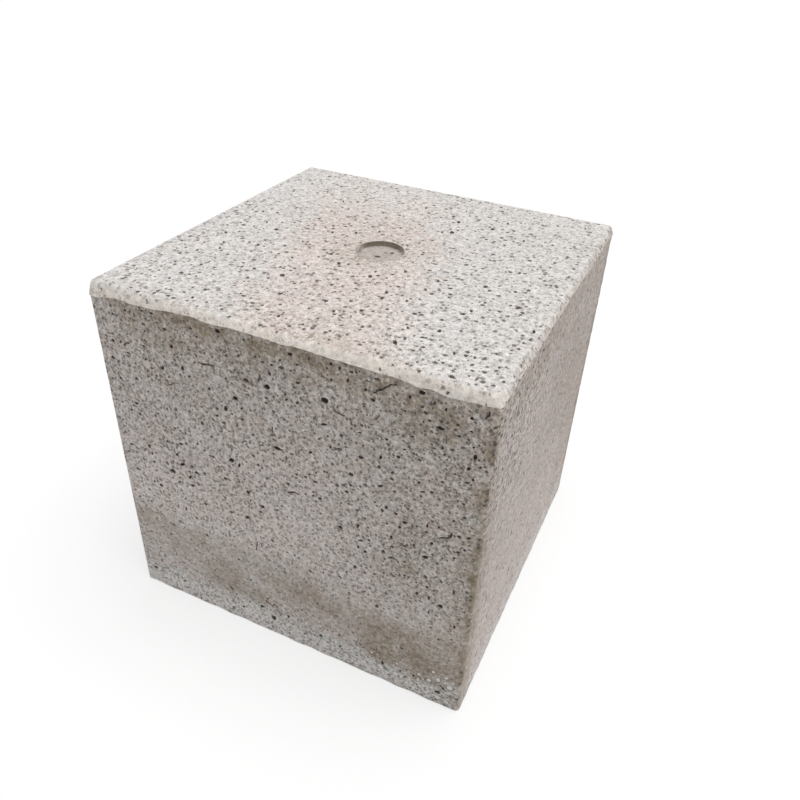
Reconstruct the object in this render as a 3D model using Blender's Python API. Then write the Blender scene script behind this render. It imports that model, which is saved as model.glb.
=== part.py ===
"""Concrete deck pier block, cast in one piece.

A near-cube of dry-cast concrete. Its top arrises were struck by hand with an edging trowel, its upright
arrises are rounded by the mould, its foot is broken and open-textured, and a blind round recess sits in the
middle of the top. Larger air holes are open in its faces.

Metres, +Z up. The origin is the middle of the foot, +X runs along the front face and +Y runs to the back.
Run it with: blender --background --python part.py
"""

import math
import random

import bmesh
import bpy
from mathutils import Matrix, Vector

# The casting
BLOCK_WIDTH = 0.300
BLOCK_DEPTH = 0.298
BLOCK_HEIGHT = 0.292

# Upright arrises, rounded by the mould
UPRIGHT_RADIUS = 0.0045
UPRIGHT_STEPS = 4

# Top arris: it leaves the top smoothly, turns down and stops short at a crisp lower edge on the side
LIP_INSET = 0.0040
LIP_DROP = 0.0050
LIP_CORNER_DROP = 0.0030
LIP_WANDER = 0.0006
LIP_WANDER_LENGTH = 0.083
LIP_TURN = math.radians(62)
LIP_STEPS = 3
SIDE_STATIONS = 24

# Foot, with its edge broken off unevenly
FOOT_BREAK = 0.0016
FOOT_WANDER = 0.0007
FOOT_WANDER_LENGTH = 0.031

# Recess in the top: its mouth is worn, its wall has a little draft and its floor is flat
RECESS_DIAMETER = 0.0345
RECESS_DEPTH = 0.0048
RECESS_DRAFT = 0.0003
RECESS_MOUTH_WEAR = 0.0005
RECESS_CENTRE = Vector((0.0017, -0.0003))
RECESS_SIDES = 40
RECESS_OVERRUN = 0.004

# Air holes: an uneven half ellipsoid each, its depth given as a share of its width
HOLE_DEPTH_SHARE = 0.62
HOLE_UNEVENNESS = 0.16
HOLE_SPACING = 0.009
FACE_MARGIN = 0.014
SCATTER_LENGTH = (0.0032, 0.0056)
SCATTER_SLIMNESS = (0.65, 1.0)
SCATTER_PER_FACE = 24
SCATTER_SEED = 41

# Open pockets between the stones of the front face's lower right corner
POCKET_PATCH_WIDTH = 0.024
POCKET_PATCH_HEIGHT = 0.026
POCKET_PATCH_INSET = 0.006
POCKET_LENGTH = (0.0034, 0.0048)
POCKET_SPACING = 0.0056
POCKET_COUNT = 10
POCKET_SEED = 7

# Larger air holes seen in each face: share across, share down, length, width, turn in degrees
FRONT_HOLES = (
    (0.363, 0.036, 0.0040, 0.0034, 0),
    (0.541, 0.038, 0.0034, 0.0030, 0),
    (0.837, 0.036, 0.0038, 0.0032, 10),
    (0.883, 0.110, 0.0052, 0.0036, -15),
    (0.960, 0.158, 0.0040, 0.0038, 0),
    (0.620, 0.130, 0.0058, 0.0048, -20),
    (0.482, 0.141, 0.0054, 0.0040, 15),
    (0.425, 0.142, 0.0050, 0.0044, 0),
    (0.393, 0.202, 0.0042, 0.0040, 0),
    (0.487, 0.257, 0.0064, 0.0030, 80),
    (0.500, 0.307, 0.0064, 0.0040, 10),
    (0.364, 0.398, 0.0056, 0.0040, -20),
    (0.534, 0.425, 0.0060, 0.0036, 25),
    (0.917, 0.398, 0.0078, 0.0034, 25),
    (0.873, 0.480, 0.0050, 0.0040, 20),
    (0.403, 0.485, 0.0040, 0.0036, 0),
    (0.170, 0.509, 0.0056, 0.0048, 0),
    (0.207, 0.472, 0.0054, 0.0036, 20),
    (0.123, 0.579, 0.0040, 0.0036, 0),
    (0.442, 0.516, 0.0042, 0.0032, 0),
    (0.658, 0.486, 0.0042, 0.0032, 30),
    (0.920, 0.620, 0.0042, 0.0040, 0),
    (0.413, 0.661, 0.0078, 0.0030, 85),
    (0.450, 0.934, 0.0054, 0.0046, 0),
    (0.597, 0.923, 0.0046, 0.0040, 0),
    (0.408, 0.899, 0.0056, 0.0044, 0),
    (0.462, 0.880, 0.0088, 0.0046, 10),
    (0.042, 0.933, 0.0042, 0.0036, 0),
    (0.780, 0.929, 0.0044, 0.0036, 60),
)
TOP_HOLES = (
    (0.607, 0.216, 0.0050, 0.0040, 110),
    (0.617, 0.297, 0.0056, 0.0040, 110),
    (0.707, 0.215, 0.0046, 0.0040, 90),
    (0.207, 0.520, 0.0050, 0.0036, 130),
    (0.370, 0.752, 0.0050, 0.0038, 130),
    (0.627, 0.742, 0.0040, 0.0030, 110),
    (0.738, 0.904, 0.0050, 0.0036, 115),
)
RIGHT_HOLES = (
    (0.117, 0.162, 0.0048, 0.0034, 0),
    (0.080, 0.229, 0.0040, 0.0034, 0),
    (0.597, 0.089, 0.0044, 0.0034, 10),
    (0.174, 0.623, 0.0046, 0.0036, 0),
)

# Colour of the bare concrete, linear
CONCRETE_COLOUR = (0.52, 0.49, 0.45, 1.0)
CONCRETE_ROUGHNESS = 0.93


def clear_scene():
    for obj in list(bpy.data.objects):
        bpy.data.objects.remove(obj, do_unlink=True)


def new_collection(name):
    collection = bpy.data.collections.new(name)
    bpy.context.scene.collection.children.link(collection)
    return collection


def concrete_material():
    material = bpy.data.materials.new("concrete")
    material.use_nodes = True
    shader = material.node_tree.nodes["Principled BSDF"]
    shader.inputs["Base Color"].default_value = CONCRETE_COLOUR
    shader.inputs["Roughness"].default_value = CONCRETE_ROUGHNESS
    shader.inputs["Metallic"].default_value = 0.0
    return material


def object_from(bm, name, collection):
    bmesh.ops.recalc_face_normals(bm, faces=bm.faces)
    mesh = bpy.data.meshes.new(name)
    bm.to_mesh(mesh)
    bm.free()
    obj = bpy.data.objects.new(name, mesh)
    collection.objects.link(obj)
    return obj


def make_cutter(obj):
    obj.hide_render = True
    obj.display_type = "WIRE"
    return obj


def clamp(value, limit):
    return max(-limit, min(limit, value))


def inset_point(x, y, inset):
    """The point of the block's outline at x, y, moved in square to the outline by inset."""
    flat_x = clamp(x, BLOCK_WIDTH / 2 - UPRIGHT_RADIUS)
    flat_y = clamp(y, BLOCK_DEPTH / 2 - UPRIGHT_RADIUS)
    outward = Vector((x - flat_x, y - flat_y)).normalized()
    radius = max(UPRIGHT_RADIUS - inset, UPRIGHT_RADIUS / 10)
    centre = Vector(
        (
            clamp(flat_x, BLOCK_WIDTH / 2 - inset - radius),
            clamp(flat_y, BLOCK_DEPTH / 2 - inset - radius),
        )
    )
    return centre + outward * radius


def towards_corner(x, y):
    """0 at the middle of a side and 1 at a corner."""
    return min(abs(x) / (BLOCK_WIDTH / 2), abs(y) / (BLOCK_DEPTH / 2))


def wander(x, y, wavelength):
    """An uneven wave between about -1 and 1 along the outline."""
    turn = 2 * math.pi / wavelength
    return 0.6 * math.sin(turn * (x + 0.7 * y)) + 0.4 * math.sin(2.3 * turn * (y - 0.6 * x) + 1.0)


def lip_drop(x, y):
    """How far the tooled arris reaches down the side here."""
    corner_share = towards_corner(x, y) ** 2
    return LIP_DROP + LIP_CORNER_DROP * corner_share + LIP_WANDER * wander(x, y, LIP_WANDER_LENGTH)


def foot_break(x, y):
    """How much of the foot's edge is broken off here."""
    return FOOT_BREAK + FOOT_WANDER * wander(x, y, FOOT_WANDER_LENGTH)


def level_edges(bm, z):
    return [edge for edge in bm.edges if all(abs(vert.co.z - z) < 1e-6 for vert in edge.verts)]


def raise_cap(bm, cap, places):
    """Extrudes the cap face and moves its corners, in their order round it, to places."""
    made = bmesh.ops.extrude_face_region(bm, geom=[cap])
    bmesh.ops.delete(bm, geom=[cap], context="FACES_ONLY")
    raised = next(item for item in made["geom"] if isinstance(item, bmesh.types.BMFace))
    for vert, place in zip(raised.verts, places):
        vert.co = place
    return raised


def round_uprights(bm):
    uprights = [edge for edge in bm.edges if abs(edge.verts[0].co.z - edge.verts[1].co.z) > BLOCK_HEIGHT / 2]
    bmesh.ops.bevel(
        bm,
        geom=uprights,
        offset=UPRIGHT_RADIUS,
        offset_type="OFFSET",
        segments=UPRIGHT_STEPS,
        profile=0.5,
        affect="EDGES",
    )


def add_stations(bm):
    """Divides the four sides into upright strips, so that the arris can wander between them."""
    shortest_side = min(BLOCK_WIDTH, BLOCK_DEPTH) / 2
    long_edges = [
        edge
        for z in (0.0, BLOCK_HEIGHT)
        for edge in level_edges(bm, z)
        if edge.calc_length() > shortest_side
    ]
    bmesh.ops.subdivide_edges(bm, edges=long_edges, cuts=SIDE_STATIONS - 1)


def strike_top_arris(bm):
    """Turns the sides over into the top in steps, from the crisp lower edge to the smooth upper one."""
    cap = max(bm.faces, key=lambda face: face.calc_center_median().z)
    outline = [(vert.co.x, vert.co.y) for vert in cap.verts]
    for vert, (x, y) in zip(cap.verts, outline):
        vert.co.z = BLOCK_HEIGHT - lip_drop(x, y)
    for step in range(1, LIP_STEPS + 1):
        turn = LIP_TURN * (1 - step / LIP_STEPS)
        inset = LIP_INSET * (1 - math.sin(turn) / math.sin(LIP_TURN))
        fall_share = (1 - math.cos(turn)) / (1 - math.cos(LIP_TURN))
        places = [
            (*inset_point(x, y, inset), BLOCK_HEIGHT - fall_share * lip_drop(x, y)) for x, y in outline
        ]
        cap = raise_cap(bm, cap, places)


def break_foot(bm):
    """Bevels the foot's edge by an uneven amount."""
    sole = min(bm.faces, key=lambda face: face.calc_center_median().z)
    outline = [(vert.co.x, vert.co.y) for vert in sole.verts]
    for vert, (x, y) in zip(sole.verts, outline):
        vert.co.z = foot_break(x, y)
    raise_cap(bm, sole, [(*inset_point(x, y, foot_break(x, y)), 0.0) for x, y in outline])


def cast_block(collection):
    bm = bmesh.new()
    bmesh.ops.create_cube(bm, size=1.0)
    bmesh.ops.scale(bm, vec=(BLOCK_WIDTH, BLOCK_DEPTH, BLOCK_HEIGHT), verts=bm.verts)
    bmesh.ops.translate(bm, vec=(0.0, 0.0, BLOCK_HEIGHT / 2), verts=bm.verts)
    round_uprights(bm)
    add_stations(bm)
    strike_top_arris(bm)
    break_foot(bm)
    return object_from(bm, "pier_block", collection)


def recess_cutter(collection):
    """The recess as a turned plug, with its axis on Z."""
    radius = RECESS_DIAMETER / 2
    mouth = radius + RECESS_MOUTH_WEAR
    profile = (
        (0.0, RECESS_OVERRUN),
        (mouth + RECESS_OVERRUN, RECESS_OVERRUN),
        (mouth, 0.0),
        (radius, -RECESS_MOUTH_WEAR),
        (radius - RECESS_DRAFT, -RECESS_DEPTH),
        (0.0, -RECESS_DEPTH),
    )
    bm = bmesh.new()
    verts = [bm.verts.new((x, 0.0, z)) for x, z in profile]
    edges = [bm.edges.new(pair) for pair in zip(verts, verts[1:])]
    bmesh.ops.spin(
        bm,
        geom=verts + edges,
        axis=(0, 0, 1),
        cent=(0, 0, 0),
        angle=2 * math.pi,
        steps=RECESS_SIDES,
    )
    bmesh.ops.remove_doubles(bm, verts=bm.verts, dist=1e-5)
    plug = make_cutter(object_from(bm, "recess_plug", collection))
    plug.location = (*RECESS_CENTRE, BLOCK_HEIGHT)
    return plug


class Face:
    """A flat face of the block, seen from outside: shares run across it to the right and down it."""

    def __init__(self, top_left, across, down):
        self.top_left = Vector(top_left)
        self.across = Vector(across)
        self.down = Vector(down)
        self.outward = self.down.cross(self.across).normalized()

    def place(self, across, down, turn):
        """A frame on the face with Z outward, and X turned from across by turn."""
        right = self.across.normalized()
        frame = Matrix((right, self.outward.cross(right), self.outward)).transposed().to_4x4()
        spot = self.top_left + self.across * across + self.down * down
        return Matrix.Translation(spot) @ frame @ Matrix.Rotation(turn, 4, "Z")


def block_faces():
    right, back = BLOCK_WIDTH / 2, BLOCK_DEPTH / 2
    wide, deep, tall = (BLOCK_WIDTH, 0, 0), (0, BLOCK_DEPTH, 0), (0, 0, -BLOCK_HEIGHT)
    return {
        "front": Face((-right, -back, BLOCK_HEIGHT), wide, tall),
        "right": Face((right, -back, BLOCK_HEIGHT), deep, tall),
        "back": Face((right, back, BLOCK_HEIGHT), -Vector(wide), tall),
        "left": Face((-right, back, BLOCK_HEIGHT), -Vector(deep), tall),
        "top": Face((-right, back, BLOCK_HEIGHT), wide, -Vector(deep)),
    }


def add_hole(bm, face, hole, rng):
    """Adds one uneven ellipsoid, half of it below the face."""
    across, down, length, width, turn = hole
    lump = bmesh.ops.create_icosphere(bm, subdivisions=2, radius=1.0)["verts"]
    for vert in lump:
        vert.co *= 1 + rng.uniform(-HOLE_UNEVENNESS, HOLE_UNEVENNESS)
    size = Matrix.Diagonal((length / 2, width / 2, width * HOLE_DEPTH_SHARE, 1.0))
    place = face.place(across, down, math.radians(turn))
    bmesh.ops.transform(bm, matrix=place @ size, verts=lump)


def scattered(rng, count, spacing, spot, taken):
    """Up to count spots from spot(), each at least spacing from the others and from those taken."""
    kept = []
    for _ in range(40 * count):
        if len(kept) == count:
            break
        candidate = spot()
        if all((candidate - other).length >= spacing for other in taken + kept):
            kept.append(candidate)
    return kept


def scattered_holes(face, rng):
    """Air holes spread over a whole face, as shares with sizes."""
    wide, tall = face.across.length, face.down.length

    def spot():
        across = rng.uniform(FACE_MARGIN, wide - FACE_MARGIN)
        return Vector((across, rng.uniform(FACE_MARGIN, tall - FACE_MARGIN)))

    for point in scattered(rng, SCATTER_PER_FACE, HOLE_SPACING, spot, []):
        length = rng.uniform(*SCATTER_LENGTH)
        width = length * rng.uniform(*SCATTER_SLIMNESS)
        yield point.x / wide, point.y / tall, length, width, rng.uniform(0, 180)


def corner_pockets(face, rng):
    """Pockets between the stones of the face's lower right corner, as shares with sizes."""
    wide, tall = face.across.length, face.down.length

    def spot():
        from_right = POCKET_PATCH_INSET + rng.uniform(0, POCKET_PATCH_WIDTH)
        from_foot = POCKET_PATCH_INSET + rng.uniform(0, POCKET_PATCH_HEIGHT)
        return Vector((wide - from_right, tall - from_foot))

    for point in scattered(rng, POCKET_COUNT, POCKET_SPACING, spot, []):
        length = rng.uniform(*POCKET_LENGTH)
        yield point.x / wide, point.y / tall, length, length * 0.8, rng.uniform(0, 180)


def air_hole_cutter(collection):
    """All the air holes as one cutter of separate lumps."""
    faces = block_faces()
    scatter = random.Random(SCATTER_SEED)
    pockets = random.Random(POCKET_SEED)
    holes = {
        "front": list(FRONT_HOLES) + list(corner_pockets(faces["front"], pockets)),
        "top": TOP_HOLES,
        "right": RIGHT_HOLES,
        "back": scattered_holes(faces["back"], scatter),
        "left": scattered_holes(faces["left"], scatter),
    }
    bm = bmesh.new()
    for name, of_face in holes.items():
        for hole in of_face:
            add_hole(bm, faces[name], hole, scatter)
    return make_cutter(object_from(bm, "air_hole_lumps", collection))


def cut(obj, cutter):
    modifier = obj.modifiers.new(cutter.name, "BOOLEAN")
    modifier.operation = "DIFFERENCE"
    modifier.solver = "EXACT"
    modifier.object = cutter


def main():
    clear_scene()
    parts = new_collection("deck_pier_block")
    cutters = new_collection("cutters")
    block = cast_block(parts)
    block.data.materials.append(concrete_material())
    cut(block, recess_cutter(cutters))
    cut(block, air_hole_cutter(cutters))


if __name__ == "__main__":
    main()
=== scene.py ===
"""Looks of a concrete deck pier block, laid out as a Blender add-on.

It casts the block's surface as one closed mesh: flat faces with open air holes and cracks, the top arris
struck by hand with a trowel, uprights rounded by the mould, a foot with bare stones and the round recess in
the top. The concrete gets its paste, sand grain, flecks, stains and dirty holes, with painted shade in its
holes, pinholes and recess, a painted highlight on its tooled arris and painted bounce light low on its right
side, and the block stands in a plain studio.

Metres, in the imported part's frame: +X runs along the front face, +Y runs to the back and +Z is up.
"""

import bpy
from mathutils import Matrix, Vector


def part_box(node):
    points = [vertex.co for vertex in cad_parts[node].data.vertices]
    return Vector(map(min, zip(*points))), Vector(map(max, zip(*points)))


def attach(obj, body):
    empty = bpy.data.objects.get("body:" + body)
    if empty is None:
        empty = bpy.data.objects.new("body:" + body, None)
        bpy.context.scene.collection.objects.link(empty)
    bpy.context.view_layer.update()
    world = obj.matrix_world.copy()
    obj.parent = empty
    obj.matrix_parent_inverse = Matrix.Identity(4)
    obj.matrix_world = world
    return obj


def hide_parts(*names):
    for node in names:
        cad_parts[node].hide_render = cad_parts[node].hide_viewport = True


bl_info = {
    "name": "Concrete deck pier block",
    "version": (1, 0, 0),
    "blender": (4, 5, 0),
    "location": "3D View > Sidebar > Pier block",
    "description": "Casts the surface of a concrete deck pier block and stands it in a plain studio",
    "category": "Object",
}

import math
import random

import bmesh
import bpy
import numpy as np
from bpy.props import FloatProperty, FloatVectorProperty, IntProperty, PointerProperty
from mathutils import Matrix, Quaternion, Vector, noise
from mathutils.geometry import delaunay_2d_cdt

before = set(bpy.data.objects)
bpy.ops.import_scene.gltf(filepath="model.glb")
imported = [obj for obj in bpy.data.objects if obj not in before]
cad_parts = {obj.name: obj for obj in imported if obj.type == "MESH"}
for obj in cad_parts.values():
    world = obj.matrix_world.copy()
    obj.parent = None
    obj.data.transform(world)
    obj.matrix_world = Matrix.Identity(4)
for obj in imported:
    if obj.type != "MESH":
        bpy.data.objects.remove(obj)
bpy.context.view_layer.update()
LOW, HIGH = (Vector(corner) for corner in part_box("pier_block"))
WIDTH, DEPTH, HEIGHT = HIGH - LOW

PIECE_NAME = "pier_block_casting"

# Steps of the mesh
STATION_SPACING = 0.0026
UPRIGHT_ROW = 0.0032
UPRIGHT_STEPS = 6
FACE_SPACING = 0.0058
SOLE_SPACING = 0.016
RECESS_SIDES = 72
RECESS_FLOOR_SPACING = 0.0022
SPACING_JITTER = 0.32
CLEAR_OF_EDGE = 0.42
CLEAR_OF_HOLE = 0.25
FILL_INSIDE = 1
FILL_PRECISION = 1e-5
SHARP_ANGLE = math.radians(38)

MM = 0.001
MICRON = 1e-6

# Air holes in mm: from the left, from the top (on the top face: from the back), length, width, turn in
# degrees, and from 0 to 1 how deep and dirty they are, with their painted shade
FRONT_HOLES = (
    (109, 10, 4.2, 3.4, 0, 1.0), (163, 11.4, 4.0, 3.0, 0, 1.0), (252, 11.2, 5.0, 3.2, 10, 1.0),
    (265, 32.3, 5.6, 3.0, 0, 1.0), (288, 45.5, 5.0, 2.8, 90, 1.0), (187, 38.5, 6.0, 4.6, 15, 1.0),
    (144.5, 41.6, 5.6, 3.8, 20, 1.0), (128, 41.5, 5.0, 4.2, 0, 0.6), (118, 59, 4.4, 4.0, 90, 1.0),
    (149.5, 90, 6.4, 3.8, 5, 1.0), (109, 116, 5.4, 4.2, 30, 1.0), (262, 140.5, 5.0, 3.4, 20, 1.0),
    (121, 141.5, 3.8, 3.4, 90, 1.0), (51.5, 148.5, 5.6, 4.4, 15, 0.9), (62, 138, 5.4, 2.8, 20, 1.0),
    (37, 168.6, 3.8, 3.2, 10, 0.95), (133, 150.6, 4.2, 3.4, 10, 0.8), (198, 142, 4.0, 3.4, 30, 0.9),
    (276.5, 182, 4.2, 4.0, 0, 0.95), (135, 273, 5.0, 4.6, 90, 0.95), (179.5, 269.6, 4.0, 3.2, 80, 1.0),
    (124, 264.6, 4.4, 3.2, 60, 0.95), (234.5, 270.6, 4.6, 2.6, 85, 1.0), (13, 273, 5.0, 3.8, 10, 0.7),
    (16.5, 43, 3.2, 2.8, 0, 0.95), (54, 19.6, 3.4, 2.4, 10, 0.95), (33, 15, 3.0, 2.4, 10, 0.8),
    (56, 11.2, 3.4, 2.0, 0, 0.8), (48, 11.4, 2.8, 1.8, 20, 0.7), (21, 20.6, 2.4, 2.0, 0, 0.9),
    (92, 19, 2.4, 2.0, 0, 0.9), (87, 14, 4.6, 2.8, 20, 0.5), (69, 33, 3.8, 3.0, 60, 0.8),
    (84, 31, 3.4, 2.2, 0, 0.5), (114, 27, 2.8, 2.0, 0, 0.8), (44.5, 39.8, 3.0, 2.2, 0, 0.9),
    (28.5, 49.6, 3.0, 1.8, 10, 0.8), (44, 50.2, 2.8, 1.6, 20, 0.7), (58, 53.4, 4.0, 3.0, 45, 0.8),
    (76, 48, 4.0, 2.6, 75, 0.75), (81, 53, 2.8, 2.0, 10, 0.7), (97, 58, 3.4, 2.8, 50, 0.65),
    (13, 58, 3.2, 2.8, 30, 0.95), (51.5, 61.6, 2.4, 1.8, 10, 0.9), (32, 70, 3.2, 2.4, 20, 0.75),
    (109, 70.5, 5.0, 3.0, 80, 0.85), (41, 78.6, 2.0, 2.0, 0, 0.9), (101, 79, 3.2, 2.6, 40, 0.6),
    (149, 23.5, 3.0, 2.4, 20, 0.8), (142.5, 23.2, 3.2, 1.8, 20, 0.7), (124, 24, 3.0, 2.0, 80, 0.7),
    (112, 45, 3.0, 2.0, 70, 0.6), (129, 52.6, 2.2, 1.8, 0, 0.8), (122.5, 66, 2.6, 2.0, 60, 0.7),
    (176.5, 10.8, 3.0, 1.8, 85, 0.7), (168, 17.5, 3.0, 1.8, 10, 0.95), (192, 9.8, 3.4, 2.2, 85, 0.95),
    (198, 11, 3.8, 1.8, 70, 0.85), (206, 11.4, 3.0, 2.0, 10, 0.7), (203.5, 18, 4.4, 1.8, 75, 0.75),
    (156, 23.6, 4.8, 2.8, 20, 0.55), (168, 31, 3.6, 2.2, 10, 0.7), (158, 43, 2.2, 1.8, 0, 0.8),
    (158.5, 47, 2.4, 1.8, 60, 0.7), (167, 46.6, 3.4, 2.2, 50, 0.6), (186, 57, 4.6, 2.2, 15, 0.75),
    (212, 54, 3.4, 1.6, 10, 0.8), (230.5, 52.6, 2.6, 2.4, 0, 0.75), (243, 56, 3.2, 1.4, 15, 0.8),
    (189, 65.2, 2.2, 1.8, 0, 0.7), (227, 68.4, 3.6, 2.0, 75, 0.95), (191, 73.5, 3.0, 2.0, 80, 0.95),
    (213, 73.6, 4.2, 3.0, 10, 0.75), (175.5, 83.6, 3.8, 2.4, 40, 0.85), (263, 82.6, 3.0, 2.4, 30, 0.7),
    (257, 84.6, 4.0, 1.8, 20, 0.7), (254, 78.2, 3.0, 2.2, 40, 0.85), (269.5, 71.6, 2.2, 2.0, 0, 0.9),
    (285, 66, 3.6, 1.8, 20, 0.75), (285, 55, 3.4, 2.4, 75, 0.9), (292, 51.4, 2.6, 1.8, 85, 0.8),
    (286.5, 38.4, 2.4, 1.6, 80, 0.8), (267.5, 46, 3.4, 2.0, 85, 0.75), (247.5, 44.5, 3.0, 1.8, 20, 0.95),
    (274, 45, 3.2, 1.4, 15, 0.7), (277, 33.6, 3.2, 1.8, 15, 0.85), (284, 27.8, 2.8, 1.8, 0, 0.9),
    (275.5, 26, 2.8, 2.0, 40, 0.7), (258, 29, 2.8, 2.2, 0, 0.65), (242, 27.4, 2.6, 1.6, 20, 0.85),
    (267.5, 18, 3.0, 2.0, 90, 0.95), (283.5, 18.6, 2.8, 2.6, 0, 0.9), (260, 16, 3.0, 1.6, 75, 0.85),
    (244.5, 16.8, 3.2, 2.4, 70, 0.75), (215.5, 20.8, 3.0, 2.4, 60, 0.95), (223, 11, 4.0, 2.2, 10, 0.6),
    (27.5, 93, 4.0, 2.4, 20, 0.75), (110.5, 105.6, 2.2, 2.2, 0, 0.8), (80, 111.6, 2.4, 2.2, 60, 0.8),
    (85.5, 115.6, 3.0, 1.8, 50, 0.7), (64, 117.6, 4.0, 2.4, 20, 0.9), (69, 115.4, 2.8, 2.2, 40, 0.7),
    (51, 120, 2.8, 2.2, 75, 0.85), (58.5, 129.6, 3.2, 2.6, 45, 0.85), (32, 131.5, 4.4, 2.6, 75, 0.7),
    (33.5, 138, 2.8, 2.0, 80, 0.7), (14, 136, 4.4, 2.2, 15, 0.75), (47, 141.6, 3.0, 2.0, 60, 0.7),
    (75, 141, 4.2, 2.8, 20, 0.8), (82.5, 138.6, 3.0, 2.2, 20, 0.85), (68, 148, 4.2, 2.8, 70, 0.8),
    (34, 146, 3.6, 1.8, 20, 0.75), (69, 156, 4.4, 2.6, 20, 0.85), (101.5, 136, 3.6, 3.0, 40, 0.7),
    (115.5, 118, 4.2, 2.2, 75, 0.9), (114, 134.2, 2.6, 2.4, 0, 0.9), (132, 111, 3.0, 2.8, 45, 0.75),
    (145, 148.5, 5.2, 1.6, 20, 0.7), (103.5, 168.6, 2.6, 2.4, 0, 0.95), (118, 167.8, 4.4, 3.2, 50, 0.8),
    (174, 103, 2.6, 1.8, 60, 0.8), (178.5, 108, 4.2, 2.0, 10, 0.75), (206, 100, 2.6, 2.0, 10, 0.8),
    (203, 107, 3.2, 2.4, 0, 0.95), (232.5, 108.6, 3.4, 2.4, 80, 0.9), (227.5, 92, 5.0, 2.6, 20, 0.7),
    (239.5, 111, 2.8, 2.2, 20, 0.85), (246, 116, 3.8, 2.8, 20, 0.8), (242.5, 121.6, 3.4, 2.4, 70, 0.75),
    (182, 121.6, 3.4, 2.6, 30, 0.75), (211.5, 134.5, 5.2, 2.2, 85, 0.85), (237, 133.5, 4.2, 2.2, 85, 0.85),
    (247, 137.2, 3.0, 2.2, 10, 0.7), (238, 142, 3.0, 2.4, 20, 0.8), (214, 147.2, 4.0, 2.0, 15, 0.8),
    (212, 154.4, 3.4, 2.2, 85, 0.85), (217.5, 156.6, 3.4, 2.2, 45, 0.75), (266, 126, 3.4, 2.4, 80, 0.9),
    (284.5, 125.6, 3.0, 2.2, 20, 0.85), (282.5, 131.6, 3.0, 1.8, 80, 0.8), (270, 109.6, 3.0, 2.0, 85, 0.85),
    (262, 112, 3.8, 1.8, 85, 0.8), (284, 111.6, 3.2, 2.6, 10, 0.8), (290.5, 110, 3.2, 2.2, 40, 0.8),
    (286, 94.4, 3.0, 2.6, 0, 0.7), (285, 163.5, 5.0, 1.8, 88, 0.75), (265.5, 168, 3.0, 2.4, 70, 0.85),
    (258.5, 178, 3.2, 2.2, 80, 0.9), (267.5, 178, 4.4, 1.8, 85, 0.75), (209.5, 176, 4.2, 2.2, 75, 0.75),
    (59, 184, 4.8, 2.0, 80, 0.7), (68.5, 190, 3.2, 2.2, 60, 0.75), (11.5, 190.8, 3.6, 1.6, 30, 0.8),
    (37.8, 221.6, 2.8, 2.0, 70, 0.7), (99, 262.6, 2.8, 1.8, 60, 0.7), (105, 275, 3.8, 2.6, 60, 0.6),
    (44, 274.6, 4.8, 2.2, 20, 0.6), (149.5, 263, 4.0, 2.0, 85, 0.85), (153.5, 270, 3.0, 1.6, 10, 0.9),
    (165, 275.6, 4.0, 1.4, 15, 0.65), (197, 272.6, 3.8, 1.8, 70, 0.65), (250, 270.6, 3.0, 1.8, 85, 0.95),
    (254.5, 275.4, 4.0, 1.8, 25, 0.9), (261, 269.8, 3.2, 2.0, 80, 0.9), (285.6, 270.2, 3.6, 2.4, 90, 1.0),
    (281.5, 277, 5.4, 3.4, 10, 1.0), (268.4, 192.6, 3.0, 1.8, 85, 0.9), (288.4, 197, 4.2, 1.8, 85, 0.8),
    (235, 190.6, 3.0, 2.2, 70, 0.7), (203, 184, 2.6, 1.8, 60, 0.7), (168, 213, 2.6, 2.2, 40, 0.65),
)
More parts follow.
